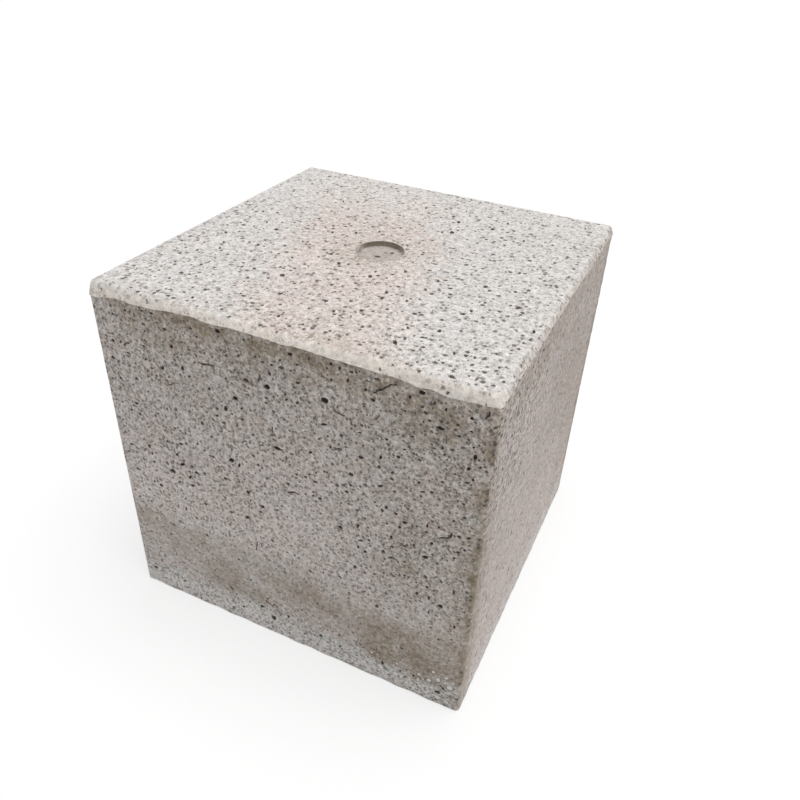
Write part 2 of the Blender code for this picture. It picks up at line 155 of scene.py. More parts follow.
TOP_HOLES = (
    (62, 155, 5.0, 3.4, 125, 1.0), (32, 180.5, 4.6, 2.6, 125, 0.95), (67, 188, 3.4, 2.6, 125, 0.95),
    (42, 197, 4.0, 2.2, 125, 0.75), (46, 207.5, 4.6, 2.0, 125, 0.8), (80, 212.5, 3.6, 3.0, 0, 0.85),
    (34, 219, 3.0, 2.4, 120, 0.85), (88.5, 225, 3.6, 2.8, 120, 0.85), (111.5, 224, 4.8, 3.6, 125, 1.0),
    (137, 220, 3.2, 2.8, 120, 0.75), (136, 186.5, 5.4, 2.6, 120, 0.9), (117.5, 184, 3.4, 1.8, 120, 0.7),
    (101.5, 195, 3.4, 1.8, 125, 0.75), (85, 179.5, 3.4, 2.2, 125, 0.75), (97.5, 168.5, 3.2, 1.8, 125, 0.75),
    (114.5, 171, 3.4, 2.6, 0, 0.7), (122.5, 175.5, 3.6, 2.8, 0, 0.75), (124, 155, 3.4, 2.6, 125, 0.65),
    (58.5, 187, 3.8, 2.2, 125, 0.65), (52.5, 238.5, 3.2, 2.6, 120, 0.75), (49, 256, 3.6, 3.0, 0, 0.85),
    (55.5, 255.2, 2.8, 2.2, 20, 0.7), (126, 249.5, 4.2, 3.2, 0, 0.85), (107, 264, 3.4, 2.8, 0, 0.65),
    (125, 269.5, 2.8, 2.2, 0, 0.7), (134.5, 262.5, 2.8, 2.2, 120, 0.7), (142, 276.4, 3.6, 2.4, 120, 0.9),
    (142.5, 271.4, 2.6, 2.2, 0, 0.7), (79.5, 282.6, 3.6, 2.2, 120, 0.9), (64, 288.4, 3.4, 2.4, 0, 0.65),
    (87, 264.5, 5.6, 3.0, 120, 0.35), (93, 239.5, 3.2, 2.2, 120, 0.65), (198, 152.2, 3.0, 2.6, 0, 0.8),
    (166, 195, 5.6, 2.8, 115, 0.9), (170, 191, 3.2, 2.8, 0, 0.75), (184, 175, 5.2, 2.4, 115, 0.6),
    (211, 177.6, 3.6, 2.0, 110, 0.85), (223, 184.6, 3.4, 2.8, 20, 0.9), (226.5, 193, 3.2, 2.8, 20, 0.85),
    (217, 190.5, 4.2, 2.6, 110, 0.4), (208.5, 195, 4.6, 2.4, 110, 0.5), (215, 199, 3.4, 2.8, 90, 0.65),
    (187, 211.6, 5.4, 2.4, 110, 0.65), (188, 221, 4.4, 2.8, 110, 1.0), (205.4, 212.4, 2.6, 2.2, 0, 0.75),
    (204.5, 217, 4.0, 1.6, 120, 0.7), (166.5, 217.6, 3.0, 2.6, 0, 0.7), (216.5, 231, 3.4, 3.0, 0, 0.9),
    (172, 235.4, 3.8, 2.6, 110, 0.6), (163, 236.4, 3.0, 2.6, 0, 0.65), (157.5, 243.4, 3.8, 3.2, 90, 0.8),
    (184.5, 244, 3.8, 2.8, 110, 0.85), (220.5, 250, 4.0, 1.8, 115, 0.65), (169, 253.2, 3.6, 2.6, 115, 0.9),
    (153.5, 258.2, 3.0, 2.2, 120, 0.8), (239.5, 244, 3.8, 2.8, 100, 0.9), (233.5, 256.6, 3.4, 2.6, 20, 0.85),
    (224.5, 263, 4.6, 2.2, 110, 0.65), (221.6, 270.6, 6.0, 2.8, 115, 1.0), (258, 265, 4.0, 1.8, 115, 0.8),
    (265, 264, 3.2, 2.6, 0, 0.85), (270.5, 263.4, 3.4, 1.8, 105, 0.7), (276, 262, 4.6, 3.2, 90, 0.4),
    (238.5, 267.4, 3.2, 2.8, 20, 0.65), (287, 267, 3.0, 1.8, 100, 0.75), (290.6, 241, 2.8, 2.4, 90, 0.7),
    (291, 232.6, 2.8, 1.8, 100, 0.75), (292.3, 215, 5.4, 2.0, 105, 1.0), (247.5, 208.6, 3.8, 2.6, 100, 0.95),
    (244.5, 215.4, 4.4, 3.2, 30, 0.8), (273.5, 188.6, 5.0, 3.2, 75, 0.85), (251.5, 193, 3.0, 2.6, 90, 0.7),
    (243.5, 169.4, 4.2, 3.0, 100, 0.75), (256, 178.4, 4.4, 2.8, 15, 0.6), (272, 160, 3.8, 3.2, 90, 0.55),
    (161, 278.6, 2.8, 2.4, 90, 0.7), (155, 284.2, 3.0, 2.6, 0, 0.85), (180, 277.2, 2.8, 2.4, 90, 0.7),
    (256, 278, 2.8, 2.2, 100, 0.75), (242.5, 284.6, 2.6, 2.0, 90, 0.7), (266, 289.6, 3.6, 3.0, 0, 0.9),
    (53, 57.5, 4.6, 2.0, 120, 0.8), (88, 66, 4.0, 2.6, 110, 0.6), (77, 72, 4.4, 1.8, 120, 0.65),
    (97, 125.6, 3.4, 2.8, 120, 0.8), (119.5, 128.6, 4.8, 2.0, 120, 0.85), (103, 137.6, 4.0, 3.0, 120, 0.7),
    (109, 118, 3.4, 2.8, 0, 0.75), (134.5, 117, 4.8, 1.8, 120, 0.75), (125, 110.6, 3.2, 2.0, 120, 0.7),
    (31, 127.6, 4.4, 2.2, 120, 0.7), (47, 146, 3.8, 1.8, 120, 0.7), (173.5, 55, 4.0, 3.4, 110, 0.75),
    (182, 64.4, 5.0, 3.8, 110, 1.0), (212, 64.4, 4.6, 3.8, 90, 0.95), (185.5, 88.5, 5.8, 3.8, 110, 1.0),
    (178.5, 92, 4.0, 2.0, 110, 0.75), (219, 46.4, 4.8, 2.0, 105, 0.9), (206, 21.6, 4.2, 2.4, 105, 0.65),
    (243, 58.4, 3.4, 2.8, 20, 0.75), (242, 75.4, 5.6, 1.8, 105, 0.85), (279, 22.6, 3.8, 2.0, 95, 0.8),
    (229.5, 113, 3.4, 2.8, 0, 0.75), (258.5, 102, 3.0, 2.4, 100, 0.7), (257.5, 135.4, 3.4, 2.6, 100, 0.9),
    (277.5, 139, 3.4, 2.4, 90, 0.7), (182.5, 140.6, 2.6, 2.2, 0, 0.75), (275.5, 104.6, 4.6, 2.6, 100, 0.6),
)
RIGHT_HOLES = (
    (35.5, 48.5, 4.8, 3.2, 150, 1.0), (24, 67.4, 4.0, 3.0, 150, 0.95), (178, 26, 4.4, 3.2, 10, 0.8),
    (52, 182, 4.4, 3.2, 0, 0.7), (88, 14.5, 5.0, 3.0, 160, 0.6), (41, 37.5, 3.0, 2.4, 150, 0.6),
    (55, 29.5, 2.6, 2.0, 150, 0.7), (43, 72, 3.6, 2.4, 150, 0.45), (79, 57, 4.0, 2.6, 150, 0.4),
    (16, 80, 2.6, 2.2, 150, 0.7), (71, 45, 3.4, 2.0, 150, 0.5), (96, 27, 4.6, 2.8, 160, 0.4),
)
RECESS_HOLES = (
    (15.9, 19.7, 5.6, 3.4, 10, 0.9), (22.8, 8.6, 3.6, 3.0, 90, 1.0), (17.9, 10.4, 3.4, 2.8, 0, 0.35),
)

# Cracks of the front in mm from its left and from its top along each one, then width, and from 0 to 1 how
# deep and dirty they are, with their painted shade
FRONT_CRACKS = (
    (((90.5, 38.4), (94, 39.4), (97.5, 38.4), (101.5, 37.8), (103.6, 41.5)), 1.8, 0.95),
    (((193, 42), (195.5, 44.4), (198.5, 45), (201.5, 44.8)), 1.9, 0.7),
    (((236, 10.8), (232, 12.6), (228.6, 15), (226.6, 17.6), (223.4, 19.4), (220.8, 21.6)), 2.2, 0.95),
    (((293, 10.4), (292.8, 13.4), (291, 16.8)), 2.0, 0.95),
    (((139.6, 33.4), (138.8, 36.6), (137.4, 39.6)), 1.8, 0.85),
    (((146.4, 72.6), (146.4, 77.4), (148.6, 80)), 1.7, 0.85),
    (((155.6, 127.2), (159, 125.8), (161.4, 124.6), (165, 125.4)), 2.2, 0.95),
    (((236, 154), (238.6, 152.2), (241, 153), (243.4, 155)), 2.4, 0.95),
    (((270.4, 119), (274, 117.4), (277.6, 115.4), (279, 110.6)), 2.4, 0.95),
    (((285.6, 150), (288.4, 150.2), (291, 151.4)), 1.6, 0.8),
    (((125, 189.6), (124.7, 194), (123.2, 199.6)), 1.8, 0.85),
    (((127.4, 257.6), (131, 256.2), (134.6, 258.8), (137.0, 255), (139.8, 257.4)), 2.2, 0.85),
    (((59.4, 67.4), (63, 65.4), (66, 63.2), (69.8, 62)), 1.3, 0.6),
    (((26, 44.4), (28.2, 42), (31.6, 40.6)), 2.2, 0.7),
    (((56.8, 18.4), (58.4, 17.6), (60.4, 17)), 1.2, 0.8),
    (((268.8, 34.8), (269.4, 37.6), (269.6, 42)), 1.2, 0.6),
    (((12, 38), (15.4, 37.4), (18.6, 36.8)), 1.6, 0.6),
    (((108, 187.4), (110.4, 185.4), (113.4, 183.4)), 1.4, 0.5),
)
# Stones that lie bare at the foot of the front, in mm as the air holes
FRONT_STONES = (
    (254.6, 270.9, 5.4, 4.4, 10, 1.0), (264.8, 272.8, 5.6, 3.2, 88, 1.0), (246, 277, 7.0, 5.4, 60, 0.8),
    (281.0, 262.6, 5.6, 4.4, 80, 0.9), (289.8, 275.4, 8.6, 5.6, 85, 1.0), (290.6, 266.2, 6.0, 5.4, 20, 1.0),
    (282.0, 284.0, 6.4, 4.4, 10, 0.9), (272.6, 283, 5.4, 4.2, 30, 0.8), (273.6, 267.6, 4.8, 4.0, 50, 0.8),
    (287.0, 256.4, 4.4, 3.6, 20, 0.7), (276.6, 255.6, 3.8, 3.2, 70, 0.8), (269.6, 277.4, 4.6, 3.6, 0, 0.7),
    (259.6, 279.4, 4.6, 3.6, 20, 0.6), (210.6, 281.4, 3.6, 3.0, 30, 0.8), (126.8, 272.0, 3.8, 3.0, 10, 0.6),
    (113.6, 270.4, 3.6, 2.6, 20, 0.7), (235.6, 283.0, 4.4, 3.4, 50, 0.7), (224.6, 277.6, 3.8, 3.0, 10, 0.6),
    (289.4, 285.0, 5.0, 3.6, 0, 0.8), (281.4, 270.2, 4.6, 3.6, 60, 0.8), (265.4, 265.4, 3.8, 2.8, 20, 0.7),
    (293.0, 259.0, 3.4, 2.8, 80, 0.7),
)

# Where small holes crowd together in the front: metres from the left and from the top, half width, half
# height, strength
FRONT_CROWDS = (
    (0.062, 0.141, 0.020, 0.014, 1.0),
    (0.134, 0.257, 0.024, 0.009, 1.3),
    (0.031, 0.140, 0.010, 0.014, 0.7),
    (0.222, 0.014, 0.020, 0.014, 0.6),
    (0.275, 0.040, 0.030, 0.030, 0.5),
    (0.230, 0.150, 0.050, 0.030, 0.35),
    (0.150, 0.282, 0.150, 0.010, 0.25),
    (0.285, 0.272, 0.018, 0.016, 0.8),
)

# How far the lip reaches down the front, in mm: from the left, then down
FRONT_LIP = (
    (0, 12.0), (8, 11.4), (14, 8.4), (20, 7.6), (36, 8.8), (50, 8.0), (61, 7.4), (68, 6.2), (80, 5.2),
    (125, 4.8), (147, 4.8), (151, 6.0), (172, 5.2), (190, 5.4), (205, 5.8), (230, 6.6), (250, 7.8),
    (256, 6.8), (262, 8.0), (286, 7.8), (295, 6.6), (300, 8.0),
)
# Profile of the tooled arris from its lower edge to the top: share of its reach inward and share of its fall
LIP_PROFILE = ((0.0, 1.0), (0.14, 0.76), (0.29, 0.52), (0.45, 0.32), (0.62, 0.165), (0.80, 0.055), (1.0, 0.0))
# Profile of the broken foot edge from the sides to the sole: share of its height, share of its reach inward,
# and how far it faces down
FOOT_PROFILE = ((1.0, 0.18, 0.0), (0.42, 0.36, 0.4), (0.0, 1.0, 1.0))

# Marks on the faces: metres from the left and from the top (on the top face: from the back), half width, half
# height, strength
FRONT_STAINS = (
    (0.150, 0.006, 0.210, 0.017, 0.86),
    (0.150, 0.018, 0.210, 0.017, 0.40),
    (0.150, 0.040, 0.260, 0.075, 0.17),
    (0.250, 0.060, 0.080, 0.110, 0.22),
    (0.060, 0.024, 0.052, 0.020, 0.50),
    (0.055, 0.026, 0.016, 0.010, 0.60),
    (0.128, 0.026, 0.022, 0.026, 0.46),
    (0.196, 0.014, 0.034, 0.014, 0.72),
    (0.222, 0.012, 0.016, 0.008, 0.90),
    (0.256, 0.028, 0.038, 0.030, 0.62),
    (0.264, 0.120, 0.055, 0.125, 0.24),
    (0.249, 0.130, 0.020, 0.020, 0.40),
    (0.252, 0.155, 0.012, 0.012, 0.55),
    (0.300, 0.150, 0.009, 0.250, 0.78),
    (0.292, 0.140, 0.018, 0.200, 0.34),
    (0.150, 0.232, 0.195, 0.036, 0.20),
    (0.020, 0.210, 0.036, 0.018, 0.34),
    (0.072, 0.213, 0.024, 0.013, 0.40),
    (0.042, 0.212, 0.012, 0.008, 0.40),
    (0.055, 0.232, 0.026, 0.018, 0.24),
    (0.092, 0.243, 0.036, 0.026, 0.46),
    (0.112, 0.252, 0.024, 0.013, 0.56),
    (0.140, 0.224, 0.030, 0.020, 0.38),
    (0.268, 0.266, 0.026, 0.013, 0.62),
    (0.170, 0.228, 0.020, 0.016, 0.56),
    (0.188, 0.232, 0.022, 0.012, 0.50),
    (0.215, 0.232, 0.026, 0.022, 0.42),
    (0.247, 0.240, 0.044, 0.030, 0.72),
    (0.262, 0.252, 0.034, 0.018, 0.80),
    (0.236, 0.260, 0.030, 0.011, 0.76),
    (0.285, 0.236, 0.025, 0.036, 0.56),
)
FRONT_PALE = (
    (0.045, 0.176, 0.085, 0.036, 1.00),
    (0.095, 0.188, 0.030, 0.020, 1.00),
    (0.162, 0.164, 0.054, 0.046, 0.85),
    (0.105, 0.285, 0.150, 0.017, 1.10),
    (0.225, 0.284, 0.060, 0.012, 0.90),
    (0.150, 0.105, 0.100, 0.040, 0.35),
)
SIDE_STAINS = (
    (0.150, 0.012, 0.210, 0.020, 0.55),
    (0.070, 0.030, 0.034, 0.024, 0.55),
    (0.210, 0.034, 0.044, 0.030, 0.50),
    (0.090, 0.238, 0.080, 0.030, 0.45),
    (0.200, 0.230, 0.090, 0.026, 0.40),
    (0.235, 0.248, 0.050, 0.022, 0.48),
)
RIGHT_STAINS = (
    (0.150, 0.012, 0.220, 0.026, 0.26),
    (0.070, 0.018, 0.060, 0.022, 0.30),
    (0.248, 0.165, 0.034, 0.150, 0.26),
    (0.215, 0.070, 0.095, 0.105, 0.20),
    (0.294, 0.150, 0.024, 0.260, 0.55),
    (0.000, 0.150, 0.006, 0.250, 0.20),
    (0.000, 0.060, 0.020, 0.060, 0.40),
    (0.002, 0.200, 0.022, 0.200, 0.42),
)
TOP_STAINS = (
    (0.146, 0.160, 0.032, 0.028, 0.36),
    (0.150, 0.120, 0.040, 0.050, 0.10),
    (0.105, 0.290, 0.090, 0.012, 0.10),
    (0.190, 0.292, 0.060, 0.014, 0.20),
)
# The top's warm band: its two ends and how far it reaches to each side
TOP_WARM_LINE = ((0.110, 0.060), (0.165, 0.260))
TOP_WARM_REACH = 0.085
# How much warmer the paste of the sides is than the even mix
PASTE_WARMTH = {"front": 0.16, "right": 0.46, "back": 0.16, "left": 0.16}

# How thickly air holes and flecks lie in each face, by metres down from its top edge (on the top: from the
# back)
HIDDEN_OPEN = ((0.0, 0.6), (0.10, 0.5), (0.20, 0.4), (0.25, 0.2), (0.292, 0.35))
OPEN_BY_DEPTH = {
    "front": (
        (0.0, 0.58), (0.06, 0.58), (0.11, 0.46), (0.19, 0.40), (0.205, 0.10), (0.25, 0.08), (0.266, 0.30),
    ),
    "right": ((0.0, 0.20),),
    "back": HIDDEN_OPEN,
    "left": HIDDEN_OPEN,
    "top": ((0.0, 0.18), (0.10, 0.26), (0.298, 0.34)),
    "sole": ((0.0, 0.3),),
}
# How strongly the sand shows through the paste of each, in the same way
HIDDEN_SAND = ((0.0, 0.8), (0.10, 0.7), (0.20, 0.4), (0.25, 0.4), (0.27, 0.7))
SAND_BY_DEPTH = {
    "front": ((0.0, 1.05), (0.10, 0.95), (0.19, 0.85), (0.205, 0.60), (0.25, 0.60), (0.27, 0.90)),
    "right": ((0.0, 0.62),),
    "back": HIDDEN_SAND,
    "left": HIDDEN_SAND,
    "top": ((0.0, 0.62), (0.10, 0.64), (0.298, 0.74)),
    "sole": HIDDEN_SAND,
}
# The rougher near upper corner of the right side, for its holes and for its sand
RIGHT_CORNER_OPEN = ((0.030, 0.040, 0.090, 0.090, 0.60),)
RIGHT_CORNER_SAND = ((0.030, 0.040, 0.110, 0.110, 0.42),)
# From left to right: the share of the top's holes that lie there, and the sand added to the front
TOP_OPEN_ACROSS = ((0.0, 0.72), (0.3, 1.0))
FRONT_SAND_ACROSS = ((0.0, 0.0), (0.2, 0.0), (0.3, 0.15))

# What is scattered over each side: a share of the cracks, a share of the bare stones, the length of its
# largest small holes as a share of the front's, and how dirty at most they are, with their painted shade
SIDE_SCATTER = {
    "front": (1.0, 1.0, 1.00, 0.90),
    "right": (0.2, 0.25, 1.35, 0.90),
    "back": (1.0, 1.0, 1.35, 1.20),
    "left": (0.2, 1.0, 1.35, 1.20),
}
TRIES_PER_HOLE = 60
TRIES_PER_CRACK = 40
TRIES_PER_STONE = 40


class CastingSizes(bpy.types.PropertyGroup):
    """Sizes of the casting's surface."""

    upright_radius: FloatProperty(
        name="Upright radius", default=0.0045, unit="LENGTH",
        description="Rounding of the upright arrises",
    )
    lip_inset: FloatProperty(
        name="Lip inset", default=0.0046, unit="LENGTH",
        description="Reach of the tooled arris onto the top",
    )
    lip_drop: FloatProperty(
        name="Lip drop", default=0.0050, unit="LENGTH",
        description="Reach of the tooled arris down the sides",
    )
    lip_corner_drop: FloatProperty(
        name="Lip corner drop", default=0.0030, unit="LENGTH",
        description="Further reach at the corners",
    )
    lip_wander: FloatProperty(
        name="Lip wander", default=0.0006, unit="LENGTH",
        description="How far the lip's lower edge strays",
    )
    lip_wander_length: FloatProperty(
        name="Lip wander length", default=0.083, unit="LENGTH",
        description="Length of the straying",
    )
    lip_turn: FloatProperty(
        name="Lip turn", default=math.radians(62), subtype="ANGLE",
        description="Slope at the lip's lower edge",
    )
    lip_ledge: FloatProperty(
        name="Lip ledge", default=0.0007, unit="LENGTH",
        description="Step from the lip in to the face below",
    )
    foot_break: FloatProperty(
        name="Foot break", default=0.0016, unit="LENGTH",
        description="Edge broken off at the foot",
    )
    foot_wander: FloatProperty(
        name="Foot wander", default=0.0007, unit="LENGTH",
        description="Unevenness of the broken edge",
    )
    foot_wander_length: FloatProperty(
        name="Foot wander length", default=0.031, unit="LENGTH",
        description="Length of its unevenness",
    )
    recess_diameter: FloatProperty(
        name="Recess diameter", default=0.0345, unit="LENGTH",
        description="Across the recess at its wall",
    )
    recess_depth: FloatProperty(
        name="Recess depth", default=0.0048, unit="LENGTH",
        description="From the top to the recess floor",
    )
    recess_wear: FloatProperty(
        name="Recess wear", default=0.0005, unit="LENGTH",
        description="Wear of the recess's mouth",
    )
    recess_centre: FloatVectorProperty(
        name="Recess centre", default=(0.0017, -0.0003), size=2, unit="LENGTH",
        description="In plan",
    )
    hole_depth_share: FloatProperty(
        name="Hole depth", default=0.62,
        description="Depth of an air hole as a share of its width",
    )
    least_hole: FloatProperty(
        name="Least hole", default=0.0011, unit="LENGTH",
        description="Length of the smallest air hole",
    )
    largest_small_hole: FloatProperty(
        name="Largest small hole", default=0.0038, unit="LENGTH",
        description="Length of the largest of them",
    )
    small_hole_skew: FloatProperty(
        name="Small hole skew", default=3.2,
        description="How far small lengths outnumber large ones",
    )
    front_holes: IntProperty(name="Front holes", description="Small air holes in the front", default=900)
    top_holes: IntProperty(name="Top holes", description="Small air holes in the top", default=700)
    right_holes: IntProperty(name="Right holes", description="Small air holes in the right side", default=260)
    back_holes: IntProperty(name="Back holes", description="Small air holes in the back", default=520)
    left_holes: IntProperty(name="Left holes", description="Small air holes in the left side", default=420)
    cracks: IntProperty(name="Cracks", description="Short scattered cracks in the front", default=14)
    foot_stones: IntProperty(name="Foot stones", description="Small stones at the front's foot", default=22)
    hollow: FloatProperty(
        name="Hollow", default=0.0005, unit="LENGTH",
        description="How far the faces dish in places",
    )
    lip_ragged: FloatProperty(
        name="Lip raggedness", default=0.0010, unit="LENGTH",
        description="Small steps along the lip's lower edge",
    )
    lip_plate: FloatProperty(
        name="Lip plate", default=0.017, unit="LENGTH",
        description="Length of the lip between two steps",
    )


class ConcreteFinish(bpy.types.PropertyGroup):
    """Colours of the concrete, linear."""

    cool_paste: FloatVectorProperty(
        name="Cool paste", default=(0.655, 0.633, 0.612), subtype="COLOR",
        description="Grey-white cement paste",
    )
    warm_paste: FloatVectorProperty(
        name="Warm paste", default=(0.652, 0.576, 0.538), subtype="COLOR",
        description="Pinkish beige paste",
    )
    # Trowel cream, made brighter than the top's paste as a painted highlight on the sloping arris
    lip_cream_and_highlight: FloatVectorProperty(
        name="Lip cream", default=(0.850, 0.788, 0.712), subtype="COLOR",
        description="Paste brought up by the trowel",
    )
    stain: FloatVectorProperty(
        name="Stain", default=(0.295, 0.240, 0.160), subtype="COLOR",
        description="Olive-brown damp and soil",
    )
    # Dark sand, and pinholes painted dark as their shade with some dirt
    dark_fleck_and_pinhole_shade: FloatVectorProperty(
        name="Dark fleck", default=(0.115, 0.102, 0.090), subtype="COLOR",
        description="Dark sand and pinholes",
    )
    dull_grain: FloatVectorProperty(
        name="Dull grain", default=(0.262, 0.206, 0.172), subtype="COLOR",
        description="Reddish brown sand",
    )
    grey_grain: FloatVectorProperty(
        name="Grey grain", default=(0.255, 0.238, 0.200), subtype="COLOR",
        description="Greenish grey sand",
    )
    pale_grain: FloatVectorProperty(
        name="Pale grain", default=(0.880, 0.865, 0.840), subtype="COLOR",
        description="Quartz grains",
    )
    # Dirt in the air holes and cracks, made dark enough to stand for their shade too: painted shade
    hole_dirt_and_shade: FloatVectorProperty(
        name="Hole dirt", default=(0.085, 0.073, 0.062), subtype="COLOR",
        description="Dirt in the air holes",
    )
    recess_grey: FloatVectorProperty(
        name="Recess grey", default=(0.500, 0.452, 0.418), subtype="COLOR",
        description="Floor of the recess",
    )
    # Painted shade with dirt on the recess wall that faces front and right
    recess_wall_dirt_and_shade: FloatVectorProperty(
        name="Recess wall", default=(0.300, 0.258, 0.212), subtype="COLOR",
        description="Dirty wall of the recess",
    )
    bare_stone: FloatVectorProperty(
        name="Bare stone", default=(0.940, 0.915, 0.885), subtype="COLOR",
        description="Pale stones at the foot",
    )
    roughness: FloatProperty(name="Roughness", description="Of the bare faces", default=0.94)


class StudioSettings(bpy.types.PropertyGroup):
    """The studio's floor, light and camera."""

    floor_size: FloatProperty(name="Floor size", description="Side of the floor", default=24.0, unit="LENGTH")
    floor_colour: FloatVectorProperty(
        name="Floor colour", default=(0.62, 0.62, 0.62), subtype="COLOR",
        description="Pale studio floor",
    )
    shadow_share: FloatProperty(
        name="Shadow share", default=0.40,
        description="How much of the floor's own shade shows",
    )
    lamp_strength: FloatProperty(name="Lamp strength", description="Broad light overhead", default=2.4)
    lamp_spread: FloatProperty(
        name="Lamp spread", default=math.radians(50), subtype="ANGLE",
        description="How wide it looks from the block",
    )
    lamp_lean: FloatProperty(
        name="Lamp lean", default=math.radians(11), subtype="ANGLE",
        description="From overhead towards the right",
    )
    sky_strength: FloatProperty(name="Sky strength", description="Even light from all round", default=0.28)
    focal_length: FloatProperty(
        name="Focal length", default=33.6475, unit="CAMERA",
        description="On a 36 mm frame",
    )


# Where the photographer stood: the lens, its heading round the block, its fall and its roll
CAMERA_PLACE = Vector((0.23320, -0.48113, 0.52005))
CAMERA_HEADING = math.radians(23.537)
CAMERA_FALL = math.radians(34.448)
CAMERA_ROLL = math.radians(2.847)


def clamp(value, limit):
    """value kept between -limit and limit."""
    return max(-limit, min(limit, value))


def drift(places, wavelength, seed):
    """Smooth noise between about -1 and 1 at each place."""
    shift = Vector((seed * 7.31, seed * 3.17, seed * 5.93))
    return np.array([noise.noise(Vector(place) / wavelength + shift) for place in places])


def smooth_step(low, high, values):
    """0 below low, 1 above high and a smooth rise between them."""
    share = np.clip((values - low) / (high - low), 0.0, 1.0)
    return share * share * (3 - 2 * share)


class Plan:
    """The block's outline seen from above, and how far its top and foot edges stray along it."""

    NICK_LENGTHS = (0.0085, 0.0034)
    FRONT_REACH = 0.010

    def __init__(self, sizes):
        self.sizes = sizes
        self.stations = []
        self.spans = {}
        half_x = WIDTH / 2 - sizes.upright_radius
        half_y = DEPTH / 2 - sizes.upright_radius
        signs = (-1, -1), (1, -1), (1, 1), (-1, 1)
        corners = [Vector((half_x * x, half_y * y)) for x, y in signs]
        normals = [Vector(normal) for normal in ((0, -1), (1, 0), (0, 1), (-1, 0))]
        for number, name in enumerate(("front", "right", "back", "left")):
            self.add_side(name, corners[number], corners[(number + 1) % 4], normals[number])
            self.add_corner(corners[(number + 1) % 4], normals[number])

    def add_side(self, name, start, end, normal):
        """A side's stations, from the end of one rounded corner to the start of the next."""
        steps = round((end - start).length / STATION_SPACING)
        first = len(self.stations)
        for step in range(steps + 1):
            spot = start.lerp(end, step / steps) + normal * self.sizes.upright_radius
            self.stations.append((spot, normal))
        self.spans[name] = (first, first + steps)

    def add_corner(self, centre, normal):
        """The rounded corner's own stations, between those of its two sides."""
        for step in range(1, UPRIGHT_STEPS):
            turned = normal.copy()
            turned.rotate(Matrix.Rotation(math.pi / 2 * step / UPRIGHT_STEPS, 2))
            self.stations.append((centre + turned * self.sizes.upright_radius, turned))

    def inset(self, spot, inset):
        """The outline's point at spot, moved in square to it."""
        radius = self.sizes.upright_radius
        flat = Vector((clamp(spot.x, WIDTH / 2 - radius), clamp(spot.y, DEPTH / 2 - radius)))
        outward = (spot - flat).normalized()
        rest = max(radius - inset, radius / 10)
        centre = Vector((clamp(flat.x, WIDTH / 2 - inset - rest), clamp(flat.y, DEPTH / 2 - inset - rest)))
        return centre + outward * rest

    @staticmethod
    def wander(spot, wavelength):
        """A slow wave along the outline, from -1 to 1."""
        turn = 2 * math.pi / wavelength
        return 0.6 * math.sin(turn * (spot.x + 0.7 * spot.y)) + 0.4 * math.sin(
            2.3 * turn * (spot.y - 0.6 * spot.x) + 1.0
        )

    def lip_drop(self, spot):
        """How far the lip reaches down: as listed on the front, and in its style on the other sides."""
        sizes = self.sizes
        corner = min(abs(spot.x) / (WIDTH / 2), abs(spot.y) / (DEPTH / 2)) ** 2
        wander = sizes.lip_wander * self.wander(spot, sizes.lip_wander_length)
        place = Vector((spot.x, spot.y, 0.0))
        coarse, fine = (noise.noise(place / length) for length in self.NICK_LENGTHS)
        drop = sizes.lip_drop + sizes.lip_corner_drop * corner + wander
        front = smooth_step(DEPTH / 2 - self.FRONT_REACH, DEPTH / 2, -spot.y)
        drop += front * (MM * np.interp((spot.x + WIDTH / 2) / MM, *zip(*FRONT_LIP)) - drop)
        return float(drop + sizes.lip_ragged * (0.7 * self.plate(spot) + 0.7 * (coarse + 0.5 * fine)))

    def plate(self, spot):
        """The lip's level in plates with short steps between them, from -1 to 1."""
        along = (spot.x + spot.y) / self.sizes.lip_plate
        number = math.floor(along)
        here, following = (noise.cell(Vector((plate + 0.5, 0.5, 0.5))) for plate in (number, number + 1))
        return here + (following - here) * smooth_step(0.8, 1.0, along - number)

    def foot_break(self, spot):
        """How much of the foot edge is broken off."""
        sizes = self.sizes
        return sizes.foot_break + sizes.foot_wander * self.wander(spot, sizes.foot_wander_length)

    def corner_spans(self):
        """Station numbers from the end of each side to the start of the next."""
        count = len(self.stations)
        names = list(self.spans)
        for name, following in zip(names, names[1:] + names[:1]):
            end = self.spans[name][1]
            start = self.spans[following][0]
            yield [number % count for number in range(end, end + (start - end) % count + 1)]


class Panel:
    """A flat face seen from outside: x runs along across to the right, and y runs up."""

    def __init__(self, corner, across, up):
        self.corner = Vector(corner)
        self.width = Vector(across).length
        self.height = Vector(up).length
        self.across = Vector(across).normalized()
        self.up = Vector(up).normalized()
        self.outward = self.across.cross(self.up)

    def place(self, x, y, depth=0.0):
        """The place in space of a point of the face, or below it."""
        return self.corner + self.across * x + self.up * y - self.outward * depth

    def flat(self, place):
        """The x and y of the face's point nearest to a place."""
        offset = place - self.corner
        return Vector((offset.dot(self.across), offset.dot(self.up)))

    def seen(self, places):
        """(metres from the left, metres from the top) of many places."""
        offset = places - np.array(self.corner)
        return offset @ np.array(self.across), self.height - offset @ np.array(self.up)


def block_panels():
    """The six flat faces by name."""
    right, back = WIDTH / 2, DEPTH / 2
    wide, deep, tall = Vector((WIDTH, 0, 0)), Vector((0, DEPTH, 0)), Vector((0, 0, HEIGHT))
    return {
        "front": Panel((-right, -back, 0), wide, tall),
        "right": Panel((right, -back, 0), deep, tall),
        "back": Panel((right, back, 0), -wide, tall),
        "left": Panel((-right, back, 0), -deep, tall),
        "top": Panel((-right, -back, HEIGHT), wide, deep),
        "sole": Panel((-right, back, 0), wide, -deep),
    }


# The finishes in the order of the piece's materials
CAST, HOLE, RECESS, STONE = range(4)


